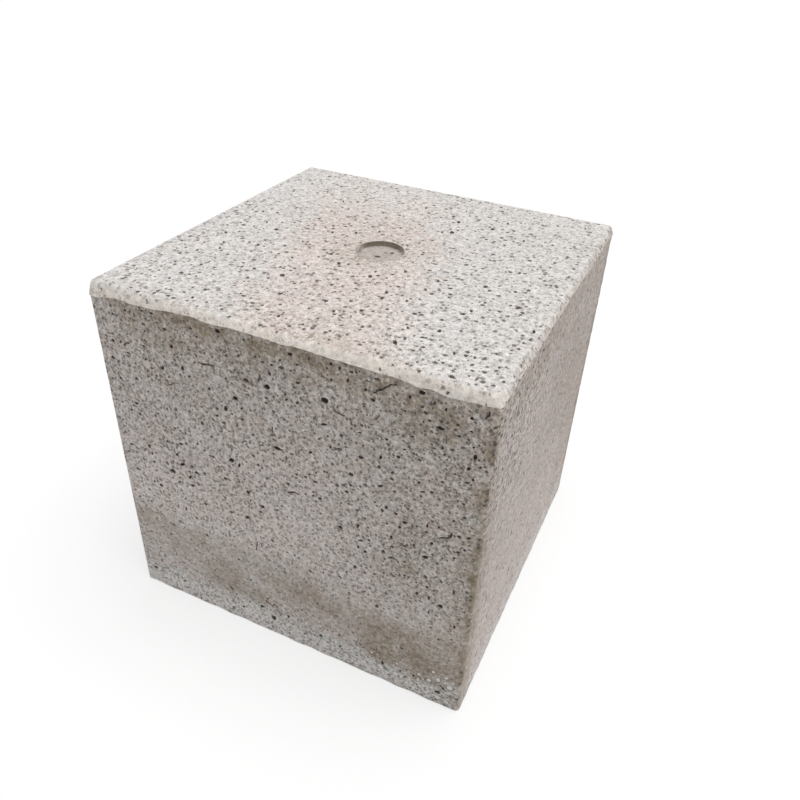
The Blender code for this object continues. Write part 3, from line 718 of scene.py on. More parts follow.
class Skin:
    """The casting's surface as it is made: corners with their outward direction and marks, and faces."""

    def __init__(self):
        self.places = []
        self.outward = []
        self.holes = []
        self.lips = []
        self.firm = []
        self.charts = {}
        self.faces = []
        self.panels = []
        self.finishes = []

    def add(self, place, outward, hole=0.0, lip=0.0, firm=False):
        """Adds a corner and returns its number. A firm one isn't pressed in."""
        self.places.append(Vector(place))
        self.outward.append(Vector(outward))
        self.holes.append(hole)
        self.lips.append(lip)
        self.firm.append(firm)
        return len(self.places) - 1

    def face(self, corners, panel=None, finish=CAST):
        """Adds a face through corners, with the panel in whose chart it lies."""
        self.faces.append(tuple(corners))
        self.panels.append(panel)
        self.finishes.append(finish)

    def strip(self, outer, inner, closed=False, panel=None, finish=CAST):
        """Joins two rows of as many corners, the second on the left of the first seen from outside."""
        count = len(outer)
        for step in range(count if closed else count - 1):
            following = (step + 1) % count
            self.face((outer[step], outer[following], inner[following], inner[step]), panel, finish)

    def fan(self, rim, middle, panel, finish):
        """Closes a row of corners with triangles to one in its middle."""
        for corner, following in zip(rim, rim[1:] + rim[:1]):
            self.face((corner, following, middle), panel, finish)


def opening_depth(width, depth_share, dirt_and_shade):
    """Depth of an opening: the dirtier and more shaded it is painted, the deeper."""
    return width * depth_share * (0.35 + 0.65 * dirt_and_shade)


class Hole:
    """An air hole: an uneven oval mouth with a bowl below it, in its panel's plane."""

    # For lengths up to the first number: the count of corners, then each ring below the mouth as its share of
    # the mouth's reach and its share of the depth
    PROFILES = (
        (0.0019, 7, ((0.66, 0.62),)),
        (0.0031, 9, ((0.82, 0.50), (0.46, 0.88))),
        (1.0000, 12, ((0.88, 0.42), (0.64, 0.78), (0.32, 0.96))),
    )
    UNEVENNESS = 0.22
    TURN_JITTER = 0.2
    FLOOR_SHIFT = 0.10
    # How fast a hole's dirty, painted shade darkens with depth
    DIRT_AND_SHADE_GAIN = 1.4

    def __init__(self, rng, centre, length, width, turn, depth_share, dirt_and_shade):
        self.dirt_and_shade = dirt_and_shade
        self.depth = opening_depth(width, depth_share, dirt_and_shade)
        _, sides, self.rings = next(profile for profile in self.PROFILES if length <= profile[0])
        self.mouth = []
        for side in range(sides):
            angle = 2 * math.pi * (side + rng.uniform(-self.TURN_JITTER, self.TURN_JITTER)) / sides
            stretch = 1 + rng.uniform(-self.UNEVENNESS, self.UNEVENNESS)
            corner = Vector((length / 2 * math.cos(angle), width / 2 * math.sin(angle))) * stretch
            corner.rotate(Matrix.Rotation(turn, 2))
            self.mouth.append(Vector(centre) + corner)
        aside = Vector((rng.uniform(-1, 1), rng.uniform(-1, 1)))
        self.floor = Vector(centre) + aside * width * self.FLOOR_SHIFT
        spread = 1 + self.UNEVENNESS
        end = Vector((math.cos(turn), math.sin(turn))) * (length - width) / 2 * spread
        self.spots = [(Vector(centre) + end * share, width / 2 * spread) for share in (-1, -0.5, 0, 0.5, 1)]

    def ring(self, skin, panel, share, depth, dirt_and_shade):
        """Corners at a share of the way from the floor's middle to the mouth."""
        made = []
        for corner in self.mouth:
            x, y = self.floor.lerp(corner, share)
            made.append(skin.add(panel.place(x, y, depth), panel.outward, hole=dirt_and_shade))
        return made

    def sink(self, skin, panel, name, rim):
        """Adds the bowl below the mouth, whose corners are rim."""
        outer = rim
        for share, depth in self.rings:
            # Each ring is painted darker the deeper it lies: dirt with painted shade
            dirt_and_shade = self.dirt_and_shade * min(1.0, depth * self.DIRT_AND_SHADE_GAIN)
            inner = self.ring(skin, panel, share, self.depth * depth, dirt_and_shade)
            skin.strip(outer, inner, closed=True, panel=name, finish=HOLE)
            outer = inner
        bottom = skin.add(panel.place(*self.floor, self.depth), panel.outward, hole=self.dirt_and_shade)
        skin.fan(outer, bottom, name, HOLE)


class Pebble(Hole):
    """A stone that lies bare in the face, with a dirty gap round it in painted shade."""

    # As for a hole, and how dirty each ring is, with its painted shade, and its finish too
    PROFILES = ((1.0000, 7, ((0.93, 0.8, 1.0, HOLE), (0.86, 1.0, 1.0, HOLE), (0.81, 0.1, 0.0, STONE))),)
    UNEVENNESS = 0.20
    GAP_DEPTH = 0.0012

    def sink(self, skin, panel, name, rim):
        """Adds the gap below the mouth, whose corners are rim, and the stone within it."""
        outer = rim
        for share, depth, dirt_and_shade, finish in self.rings:
            inner = self.ring(skin, panel, share, self.GAP_DEPTH * depth, dirt_and_shade * self.dirt_and_shade)
            skin.strip(outer, inner, closed=True, panel=name, finish=finish)
            outer = inner
        skin.fan(outer, skin.add(panel.place(*self.floor), panel.outward), name, STONE)


class Crack:
    """A crooked crack along a route in its panel's plane, narrower towards both ends."""

    END_SHARE = 0.45
    LEAST_STEP = 0.0010
    CROOKEDNESS = 0.20
    BULGE_POWER = 0.6
    FLOOR_SHARE = 0.42
    ROOM_SHARE = 0.66

    def __init__(self, rng, route, width, depth_share, dirt_and_shade):
        middles = []
        for start, end in zip(route, route[1:]):
            steps = max(1, round((end - start).length / max(width, self.LEAST_STEP)))
            middles += [start.lerp(end, step / steps) for step in range(steps)]
        middles.append(route[-1])
        for middle in middles[1:-1]:
            middle += Vector((rng.uniform(-1, 1), rng.uniform(-1, 1))) * width * self.CROOKEDNESS
        last = len(middles) - 1
        right, left = [], []
        for number, middle in enumerate(middles):
            along = (middles[min(last, number + 1)] - middles[max(0, number - 1)]).normalized()
            bulge = math.sin(math.pi * (number + 0.5) / (last + 1)) ** self.BULGE_POWER
            half = width / 2 * (self.END_SHARE + (1 - self.END_SHARE) * bulge) * rng.uniform(0.50, 1.20)
            aside = Vector((-along.y, along.x)) * half
            left.append(middle + aside)
            right.append(middle - aside)
        self.mouth = right + left[::-1]
        self.middles = middles + middles[::-1]
        # How dirty each stretch of the crack is, with its painted shade
        dirts_and_shades = [dirt_and_shade * rng.uniform(0.35, 1.0) for _ in middles]
        self.dirts_and_shades = dirts_and_shades + dirts_and_shades[::-1]
        self.depth = opening_depth(width, depth_share, dirt_and_shade)
        self.spots = [(middle, width * self.ROOM_SHARE) for middle in middles]

    def sink(self, skin, panel, name, rim):
        """Adds the trough below the mouth, whose corners are rim."""
        inner = []
        for corner, middle, dirt_and_shade in zip(self.mouth, self.middles, self.dirts_and_shades):
            x, y = middle.lerp(corner, self.FLOOR_SHARE)
            inner.append(skin.add(panel.place(x, y, self.depth), panel.outward, hole=dirt_and_shade))
        skin.strip(rim, inner, closed=True, panel=name, finish=HOLE)
        for step in range(len(inner) // 2 - 1):
            skin.face((inner[step], inner[step + 1], inner[-2 - step], inner[-1 - step]), name, HOLE)


class Openings:
    """The holes, cracks and bare stones of one panel, each clear of the others and of the panel's rim."""

    GAP = 0.0005

    def __init__(self, panel, rim):
        self.panel = panel
        corners = np.array([tuple(panel.flat(place)) for place in rim])
        runs = np.roll(corners, -1, axis=0) - corners
        quarters = [corners + runs * share for share in (0, 0.25, 0.5, 0.75)]
        self.outline = np.concatenate(quarters, axis=1).reshape(-1, 2)
        self.centres = np.empty((0, 2))
        self.reaches = np.empty(0)
        self.made = []

    def block(self, spots):
        """Keeps (centre, reach) circles free."""
        self.centres = np.concatenate([self.centres, [tuple(centre) for centre, _ in spots]])
        self.reaches = np.concatenate([self.reaches, [reach for _, reach in spots]])

    def offer(self, opening):
        """Takes the opening if there is room for it, and says whether it did."""
        centres = np.array([tuple(centre) for centre, _ in opening.spots])
        reaches = np.array([reach for _, reach in opening.spots])
        if not inside(self.outline, centres).all():
            return False
        for others, room in ((self.outline, 0.0), (self.centres, self.reaches)):
            if len(others):
                apart = np.linalg.norm(centres[:, None] - others[None], axis=2) - room - reaches[:, None]
                if apart.min() < self.GAP:
                    return False
        self.block(opening.spots)
        self.made.append(opening)
        return True

    def spot(self, across, down):
        """The panel's point at millimetres from its left and its top."""
        return Vector((across * MM, self.panel.height - down * MM))

    def offer_listed(self, rng, kind, listed, depth_share):
        """Offers holes or pebbles that a table lists."""
        for across, down, length, width, turn, dirt_and_shade in listed:
            place = self.spot(across, down)
            self.offer(kind(rng, place, length * MM, width * MM, math.radians(turn), depth_share, dirt_and_shade))

    def free_points(self, rng, spacing):
        """Points spread over the panel between its openings, for the mesh there."""
        low, high = self.outline.min(axis=0), self.outline.max(axis=0)
        columns, rows = (max(1, round(reach / spacing)) for reach in high - low)
        found = []
        for column in range(columns):
            for row in range(rows):
                aside = [rng.uniform(-SPACING_JITTER, SPACING_JITTER) for _ in range(2)]
                found.append(low + np.array((column + 0.5 + aside[0], row + 0.5 + aside[1])) * spacing)
        found = np.array(found)
        apart = np.linalg.norm(found[:, None] - self.outline[None], axis=2)
        clear = inside(self.outline, found) & (apart.min(axis=1) > CLEAR_OF_EDGE * spacing)
        if len(self.centres):
            apart = np.linalg.norm(found[:, None] - self.centres[None], axis=2) - self.reaches
            clear &= apart.min(axis=1) > CLEAR_OF_HOLE * spacing
        return [Vector(point) for point in found[clear]]


def inside(outline, points):
    """Which of points lie inside the closed outline."""
    x1, y1 = outline.T
    x2, y2 = np.roll(outline, -1, axis=0).T
    x, y = points[:, :1], points[:, 1:]
    crosses = (y1 > y) != (y2 > y)
    run = np.where(y1 == y2, 1.0, y2 - y1)
    return (crosses & (x < (x2 - x1) * (y - y1) / run + x1)).sum(axis=1) % 2 == 1


def fill_panel(skin, rng, name, rim, openings, spacing, finish=CAST, open_mouths=()):
    """Fills rim with triangles round the openings' mouths and sinks the openings.

    open_mouths stay open: they are lists of corners already in the skin.
    """
    panel = openings.panel
    corners = list(rim)
    points = [panel.flat(skin.places[corner]) for corner in rim]
    outlines = [list(range(len(rim)))]
    for mouth in open_mouths:
        outlines.append(list(range(len(corners), len(corners) + len(mouth))))
        corners += mouth
        points += [panel.flat(skin.places[corner]) for corner in mouth]
    rims = []
    for opening in openings.made:
        made = [skin.add(panel.place(x, y), panel.outward) for x, y in opening.mouth]
        outlines.append(list(range(len(corners), len(corners) + len(made))))
        corners += made
        points += opening.mouth
        rims.append(made)
    for point in openings.free_points(rng, spacing):
        corners.append(skin.add(panel.place(*point), panel.outward))
        points.append(point)
    in_mm = [point / MM for point in points]
    found, _, triangles, sources, _, owners = delaunay_2d_cdt(
        in_mm, [], outlines, FILL_INSIDE, FILL_PRECISION, True
    )
    if len(found) != len(points):
        raise RuntimeError(f"{name}: the mouths or the outline cross one another")
    for triangle, owner in zip(triangles, owners):
        if list(owner) == [0]:
            skin.face([corners[sources[corner][0]] for corner in triangle], name, finish)
    for opening, made in zip(openings.made, rims):
        opening.sink(skin, panel, name, made)


def openness(name, across, down):
    """How thickly air holes and flecks lie at a spot of a face, from 0 to 1."""
    by_depth = np.interp(down, *zip(*OPEN_BY_DEPTH[name]))
    if name == "front":
        # The pale patch in the middle has fewer holes
        pale = patch_share(FRONT_PALE[2:3], across, down)
        return by_depth * (1 - 0.6 * pale) + 0.45 * patch_share(FRONT_CROWDS, across, down)
    if name == "top":
        return by_depth * np.interp(across, *zip(*TOP_OPEN_ACROSS))
    if name == "right":
        return by_depth + patch_share(RIGHT_CORNER_OPEN, across, down)
    return by_depth


def sandiness(name, across, down):
    """How strongly the sand shows through the paste at a spot of a face, from 0 to 1."""
    by_depth = np.interp(down, *zip(*SAND_BY_DEPTH[name]))
    if name == "front":
        return by_depth + np.interp(across, *zip(*FRONT_SAND_ACROSS))
    if name == "right":
        return by_depth + patch_share(RIGHT_CORNER_SAND, across, down)
    return by_depth


def patch_share(patches, across, down):
    """The strongest of several soft oval patches at each spot."""
    found = np.zeros_like(np.asarray(across, float))
    for x, y, half_width, half_height, strength in patches:
        away = np.hypot((across - x) / half_width, (down - y) / half_height)
        found = np.maximum(found, strength * (1 - smooth_step(0.35, 1.15, away)))
    return found


def scatter(openings, count, tries, draw):
    """Offers what draw returns until count of them are in, or until each has had its tries."""
    kept = 0
    for _ in range(tries * count):
        if kept == count:
            break
        drawn = draw()
        if drawn:
            kept += openings.offer(drawn)


def scatter_holes(rng, openings, name, count, sizes, largest, most_dirt_and_shade):
    """Small air holes spread over a panel by its openness, where there is room for them."""
    panel = openings.panel

    def draw():
        x, y = rng.uniform(0, panel.width), rng.uniform(0, panel.height)
        cluster = 0.72 + 0.55 * noise.noise(Vector((x / 0.021, y / 0.021, len(name))))
        size = rng.random() ** sizes.small_hole_skew
        length = sizes.least_hole + (largest - sizes.least_hole) * size
        width = length * rng.uniform(0.55, 1.0)
        turn = rng.uniform(0, math.pi)
        dirt_and_shade = rng.uniform(0.35, most_dirt_and_shade - 0.25 * size)
        if rng.random() < float(openness(name, x, panel.height - y)) * cluster:
            return Hole(rng, (x, y), length, width, turn, sizes.hole_depth_share, dirt_and_shade)

    scatter(openings, count, TRIES_PER_HOLE, draw)


def scatter_cracks(rng, openings, name, count, depth_share):
    """Short crooked cracks spread over a panel by its openness."""
    panel = openings.panel

    def draw():
        route = [Vector((rng.uniform(0, panel.width), rng.uniform(0, panel.height)))]
        heading = rng.uniform(0, 2 * math.pi)
        for _ in range(rng.randint(2, 3)):
            heading += rng.uniform(-0.9, 0.9)
            way = Vector((math.cos(heading), math.sin(heading)))
            route.append(route[-1] + way * rng.uniform(0.0013, 0.0026))
        width = rng.uniform(0.0009, 0.0015)
        dirt_and_shade = rng.uniform(0.3, 0.8)
        if rng.random() < float(openness(name, route[0].x, panel.height - route[0].y)):
            return Crack(rng, route, width, depth_share, dirt_and_shade)

    scatter(openings, count, TRIES_PER_CRACK, draw)


def scatter_stones(rng, openings, count, depth_share):
    """Bare stones along the foot of a side, more of them towards its right."""
    panel = openings.panel

    def draw():
        x = panel.width * (1 - rng.random() ** 1.6)
        y = rng.uniform(0.006, 0.030)
        length = rng.uniform(0.0022, 0.0038)
        width = length * rng.uniform(0.6, 0.9)
        turn = rng.uniform(0, math.pi)
        return Pebble(rng, (x, y), length, width, turn, depth_share, rng.uniform(0.4, 0.9))

    scatter(openings, count, TRIES_PER_STONE, draw)


class Casting:
    """Builds the whole surface of the block into one skin."""

    SEED = 73

    def __init__(self, sizes):
        self.sizes = sizes
        self.plan = Plan(sizes)
        self.panels = block_panels()
        self.skin = Skin()
        self.rng = random.Random(self.SEED)

    def ring(self, height_of, inset_of, outward_of, **marks):
        """One corner at each station of the outline."""
        made = []
        for spot, normal in self.plan.stations:
            x, y = self.plan.inset(spot, inset_of(spot))
            made.append(self.skin.add((x, y, height_of(spot)), outward_of(normal), **marks))
        return made

    def lip(self):
        """The tooled arris, from its crisp lower edge to the ring where it meets the top."""
        sizes, plan = self.sizes, self.plan
        rings = []
        # The lip mark grows towards the steeper lower edge, where its cream is brightened as a painted
        # highlight
        for reach, fall in LIP_PROFILE:
            turn = sizes.lip_turn * (1 - reach)
            inset = sizes.lip_inset * reach
            rings.append(
                self.ring(
                    lambda spot: HEIGHT - fall * plan.lip_drop(spot),
                    lambda spot: inset,
                    lambda normal: (*(normal * math.sin(turn)), math.cos(turn)),
                    lip=min(1.0, 0.30 + 1.1 * (1 - reach)),
                )
            )
        ledge = self.ring(
            lambda spot: HEIGHT - plan.lip_drop(spot) - sizes.lip_ledge * 0.5,
            lambda spot: sizes.lip_ledge,
            lambda normal: (*normal, 0.0),
            lip=0.35,
        )
        for lower, upper in zip([ledge, *rings], rings):
            self.skin.strip(lower, upper, closed=True)
        return ledge, rings[-1]

    def foot(self):
        """The broken foot edge, from the ring where it leaves the sides to the sole's ring."""
        plan = self.plan
        rings = [
            self.ring(
                lambda spot: plan.foot_break(spot) * rise,
                lambda spot: plan.foot_break(spot) * inset,
                lambda normal: (*(normal * (1 - fall)), -fall),
                firm=rise == 0.0,
            )
            for rise, inset, fall in FOOT_PROFILE
        ]
        for upper, lower in zip(rings, rings[1:]):
            self.skin.strip(lower, upper, closed=True)
        return rings[0], rings[-1]

    def uprights(self, ledge, foot):
        """The rounded upright arrises. Returns the column of corners at each station that ends a side."""
        columns = {}
        for span in self.plan.corner_spans():
            rows = round(HEIGHT / UPRIGHT_ROW)
            made = []
            for number in span:
                spot, normal = self.plan.stations[number]
                bottom = self.skin.places[foot[number]]
                top = self.skin.places[ledge[number]]
                column = [foot[number]]
                for row in range(1, rows):
                    x, y, z = bottom.lerp(top, row / rows)
                    column.append(self.skin.add((x, y, z), (*normal, 0.0)))
                column.append(ledge[number])
                made.append(column)
            for right, left in zip(made[1:], made):
                self.skin.strip(right, left)
            columns[span[0]] = made[0]
            columns[span[-1]] = made[-1]
        return columns

    def side(self, name, ledge, foot, columns, count):
        """One upright face, inside the rows and columns of corners that bound it."""
        first, last = self.plan.spans[name]
        rim = (
            foot[first : last + 1]
            + columns[last][1:-1]
            + ledge[first : last + 1][::-1]
            + columns[first][1:-1][::-1]
        )
        openings = Openings(self.panels[name], [self.skin.places[corner] for corner in rim])
        self.open_side(name, openings, count)
        fill_panel(self.skin, self.rng, name, rim, openings, FACE_SPACING)

    def open_side(self, name, openings, count):
        """Offers a side its cracks, air holes and bare stones."""
        rng, sizes = self.rng, self.sizes
        share = sizes.hole_depth_share
        if name == "front":
            for route, width, dirt_and_shade in FRONT_CRACKS:
                openings.offer(Crack(rng, [openings.spot(*spot) for spot in route], width * MM, share, dirt_and_shade))
            openings.offer_listed(rng, Hole, FRONT_HOLES, share)
            openings.offer_listed(rng, Pebble, FRONT_STONES, share)
        if name == "right":
            openings.offer_listed(rng, Hole, RIGHT_HOLES, share)
        cracks, stones, length, most_dirt_and_shade = SIDE_SCATTER[name]
        scatter_stones(rng, openings, int(sizes.foot_stones * stones), share)
        scatter_cracks(rng, openings, name, int(sizes.cracks * cracks), share)
        scatter_holes(rng, openings, name, count, sizes, sizes.largest_small_hole * length, most_dirt_and_shade)

    def recess_mouth(self):
        """Rings down the recess, from its worn mouth to the edge of its floor."""
        sizes = self.sizes
        radius = sizes.recess_diameter / 2
        centre = Vector((*sizes.recess_centre, HEIGHT))
        chart_centre = self.panels["top"].flat(centre)
        # Each ring's reach, its depth, how far it faces up, and its wear at the front: outward and down
        steps = (
            (radius + sizes.recess_wear, 0.0, 0.9, 0.0022, 0.0),
            (radius + sizes.recess_wear * 0.35, sizes.recess_wear * 0.35, 0.7, 0.0016, 0.0005),
            (radius, sizes.recess_wear * 1.2, 0.45, 0.0010, 0.0013),
            (radius - 0.0001, sizes.recess_depth * 0.40, 0.1, 0.0, 0.0010),
            (radius - 0.0002, sizes.recess_depth * 0.70, 0.1, 0.0, 0.0004),
            (radius - 0.0003, sizes.recess_depth * 0.92, 0.2, 0.0, 0.0),
            (radius - 0.0008, sizes.recess_depth, 0.8, 0.0, 0.0),
        )
        rings = []
        for number, (reach, depth, upward, worn_out, worn_down) in enumerate(steps):
            made = []
            for side in range(RECESS_SIDES):
                angle = 2 * math.pi * side / RECESS_SIDES
                way = Vector((math.cos(angle), math.sin(angle), 0.0))
                uneven = noise.noise(Vector((math.cos(angle) * 2.2, math.sin(angle) * 2.2, number * 0.35)))
                outward = max(0.0, 0.5 - way.y) * worn_out
                sunk = max(0.0, 0.4 - way.y) * worn_down
                place = centre + way * (reach + 0.0004 * uneven + outward) - Vector((0, 0, depth + sunk))
                tilt = Vector((0, 0, upward)) - way * (1 - upward)
                corner = self.skin.add(place, tilt.normalized())
                self.skin.charts[corner] = chart_centre + way.xy * (radius - depth if number > 1 else reach)
                made.append(corner)
            rings.append(made)
        for outer, inner in zip(rings, rings[1:]):
            self.skin.strip(outer, inner, closed=True, panel="top", finish=RECESS)
        return rings[0], rings[-1]

    def recess_floor(self, rim):
        """The recess's flat floor with its own air holes, drawn smaller in the chart than it is."""
        sizes = self.sizes
        side = sizes.recess_diameter
        corner = Vector((sizes.recess_centre[0] - side / 2, sizes.recess_centre[1] - side / 2))
        floor = Panel((*corner, HEIGHT - sizes.recess_depth), (side, 0, 0), (0, side, 0))
        first = len(self.skin.places)
        openings = Openings(floor, [self.skin.places[corner] for corner in rim])
        openings.offer_listed(self.rng, Hole, RECESS_HOLES, 0.40)
        fill_panel(self.skin, self.rng, "top", rim, openings, RECESS_FLOOR_SPACING, finish=RECESS)
        middle = self.panels["top"].flat(Vector((*sizes.recess_centre, HEIGHT)))
        shrink = 1 - sizes.recess_depth / (side / 2)
        for number in range(first, len(self.skin.places)):
            flat = self.panels["top"].flat(self.skin.places[number])
            self.skin.charts[number] = middle.lerp(flat, shrink)

    def top(self, rim):
        """The top face and the recess in it, inside the lip's upper ring."""
        panel, sizes = self.panels["top"], self.sizes
        mouth, floor_rim = self.recess_mouth()
        self.recess_floor(floor_rim)
        openings = Openings(panel, [self.skin.places[corner] for corner in rim])
        middle = panel.flat(Vector((*sizes.recess_centre, HEIGHT)))
        reach = max((panel.flat(self.skin.places[corner]) - middle).length for corner in mouth)
        openings.block([(middle, reach + MM)])
        openings.offer_listed(self.rng, Hole, TOP_HOLES, sizes.hole_depth_share)
        scatter_cracks(self.rng, openings, "top", sizes.cracks // 4, sizes.hole_depth_share)
        scatter_holes(self.rng, openings, "top", sizes.top_holes, sizes, sizes.largest_small_hole, 0.85)
        fill_panel(self.skin, self.rng, "top", rim, openings, FACE_SPACING, open_mouths=[mouth])

    def build(self):
        """The whole skin: the edges first, and then the faces between them."""
        ledge, top_rim = self.lip()
        foot, sole_rim = self.foot()
        columns = self.uprights(ledge, foot)
        for name in ("front", "right", "back", "left"):
            self.side(name, ledge, foot, columns, getattr(self.sizes, name + "_holes"))
        self.top(top_rim)
        rim = sole_rim[::-1]
        openings = Openings(self.panels["sole"], [self.skin.places[corner] for corner in rim])
        fill_panel(self.skin, self.rng, "sole", rim, openings, SOLE_SPACING)
        return self.skin


class Weathering:
    """Presses unevenness into the skin and works out the marks that the concrete's material reads."""

    STAIN_BEND = 0.006
    FOOT_LINE = (0.260, 0.272)

    def __init__(self, skin, panels, sizes):
        self.places = np.array([tuple(place) for place in skin.places])
        self.outward = np.array([tuple(outward) for outward in skin.outward])
        self.panels = panels
        self.sizes = sizes
        self.holes = np.array(skin.holes)
        self.lips = np.array(skin.lips)
        self.firm = np.array(skin.firm)

    def facing(self, name):
        """How squarely each corner faces the way a panel does, from 0 to 1."""
        return np.clip(self.outward @ np.array(self.panels[name].outward), 0, 1) ** 2

    def pressed_in(self):
        """How far each corner lies below the smooth form."""
        sizes = self.sizes
        broad = 0.5 + 0.5 * drift(self.places, 0.085, 1)
        middling = 0.5 + 0.5 * drift(self.places, 0.019, 2)
        fine = 0.5 + 0.5 * drift(self.places, 0.0055, 3)
        bare = 1 - self.lips
        depth = sizes.hollow * (0.55 * broad + 0.25 * middling + 0.22 * fine * (0.35 + 0.65 * bare))
        depth[self.firm] = 0.0
        return depth

    def marks(self):
        """The values at each corner by the name that the material reads."""
        stain, pale, open_share, sand, foot = np.zeros((5, len(self.places)))
        warm = np.full(len(self.places), 0.5)
        bend = [self.STAIN_BEND * drift(self.places, 0.022, seed) for seed in (4, 5)]
        for name, panel in self.panels.items():
            facing = self.facing(name)
            across, down = panel.seen(self.places)
            bent = across + bend[0], down + bend[1]
            open_share += facing * openness(name, across, down)
            stains = {"front": FRONT_STAINS, "right": RIGHT_STAINS, "top": TOP_STAINS}.get(name, SIDE_STAINS)
            # The front's stains run on round its edges and leave its lip clean
            reach = facing**0.4 * (1 - self.lips) if name == "front" else facing
            stain += reach * patch_share(stains, *bent)
            sand += facing * sandiness(name, across, down)
            if name == "front":
                pale += facing * patch_share(FRONT_PALE, *bent)
            if name == "top":
                back = 0.30 + 0.70 * smooth_step(0.03, 0.13, down)
                warm += facing * (0.85 * back * self.near_line(across, down) - 0.40)
            # The right side is painted lighter towards its foot: painted bounce light from the floor
            if name == "right":
                pale += facing * smooth_step(0.13, 0.27, down)
            if name in PASTE_WARMTH:
                warm += facing * PASTE_WARMTH[name]
                foot += facing * smooth_step(*self.FOOT_LINE, bent[1])
        warm += 0.22 * drift(self.places, 0.05, 6)
        return {
            "stain": np.clip(stain, 0, 1),
            "pale": np.clip(pale, 0, 1),
            "open": np.clip(open_share, 0, 1),
            "sand": np.clip(sand, 0, 1.2),
            "warm": np.clip(warm, 0, 1),
            "foot": np.clip(foot, 0, 1),
            "hole": self.holes,
            "lip": self.lip_share(),
        }

    def near_line(self, across, down):
        """1 on the top's warm band, falling to 0 beside it."""
        start, end = (np.array(point) for point in TOP_WARM_LINE)
        along = (end - start) / np.linalg.norm(end - start)
        offset = np.stack([across, down], axis=1) - start
        aside = np.abs(offset @ np.array([-along[1], along[0]]))
        return 1 - smooth_step(0.3, 1.0, aside / TOP_WARM_REACH)

    def lip_share(self):
        """1 on the tooled arris, fading out a few millimetres in on the top."""
        x, y = self.places[:, 0], self.places[:, 1]
        inward = np.minimum(WIDTH / 2 - np.abs(x), DEPTH / 2 - np.abs(y))
        ragged = inward + 0.0018 * drift(self.places, 0.011, 7)
        on_top = 0.45 * self.facing("top") * (1 - smooth_step(0.0030, 0.0075, ragged))
        right = smooth_step(WIDTH / 2 - 0.008, WIDTH / 2 - 0.002, x)
        right *= smooth_step(0.004, 0.020, y + DEPTH / 2)
        patchy = 0.80 + 0.24 * smooth_step(-0.08, 0.02, x) + 0.40 * drift(self.places, 0.024, 8)
        return np.maximum(self.lips, on_top) * (1 - 0.65 * right) * np.clip(patchy, 0, 1)


# The column and the row of each face in the chart
CHART_CELLS = {
    "front": (0, 1), "right": (1, 1), "top": (2, 1),
    "back": (0, 0), "left": (1, 0), "sole": (2, 0),
}
CHART_COLUMNS, CHART_ROWS = 3, 2
CHART_EDGE = 0.012


def draw_chart(mesh, skin, panels):
    """Lays every face flat in its panel's cell of one texture map."""
    names = list(panels)
    directions = np.array([tuple(panel.outward) for panel in panels.values()])
    chart = mesh.uv_layers.new(name="OFBake")
    spots = np.empty((len(mesh.loops), 2))
    for polygon, given in zip(mesh.polygons, skin.panels):
        name = given or names[int(np.argmax(directions @ np.array(polygon.normal)))]
        panel = panels[name]
        column, row = CHART_CELLS[name]
        for loop in polygon.loop_indices:
            vertex = mesh.loops[loop].vertex_index
            flat = skin.charts.get(vertex) or panel.flat(mesh.vertices[vertex].co)
            across = CHART_EDGE + (1 - 2 * CHART_EDGE) * flat.x / panel.width
            up = CHART_EDGE + (1 - 2 * CHART_EDGE) * flat.y / panel.height
            spots[loop] = (column + across) / CHART_COLUMNS, (row + up) / CHART_ROWS
    chart.uv.foreach_set("vector", spots.astype(np.float32).ravel())


def casting_mesh(sizes):
    """The casting as a closed mesh with its marks and its chart."""
    casting = Casting(sizes)
    skin = casting.build()
    weathering = Weathering(skin, casting.panels, sizes)
    places = weathering.places - weathering.outward * weathering.pressed_in()[:, None]
    mesh = bpy.data.meshes.new(PIECE_NAME)
    mesh.from_pydata(places.tolist(), [], skin.faces)
    mesh.polygons.foreach_set("material_index", skin.finishes)
    for name, values in weathering.marks().items():
        attribute = mesh.attributes.new(name, "FLOAT", "POINT")
        attribute.data.foreach_set("value", values.astype(np.float32))
    draw_chart(mesh, skin, casting.panels)
    mesh.shade_smooth()
    mesh.set_sharp_from_angle(angle=SHARP_ANGLE)
    check_closed(mesh)
    return mesh


def check_closed(mesh):
    """Stops the script if the surface is open, crosses over itself at an edge or faces inward."""
    bm = bmesh.new()
    bm.from_mesh(mesh)
    loose = sum(not edge.is_manifold or not edge.is_contiguous for edge in bm.edges)
    volume = bm.calc_volume(signed=True)
    bm.free()
    if loose or volume <= 0:
        raise RuntimeError(f"the casting has {loose} open or twisted edges and a volume of {volume:.6f}")


WHITE = (1.0, 1.0, 1.0)


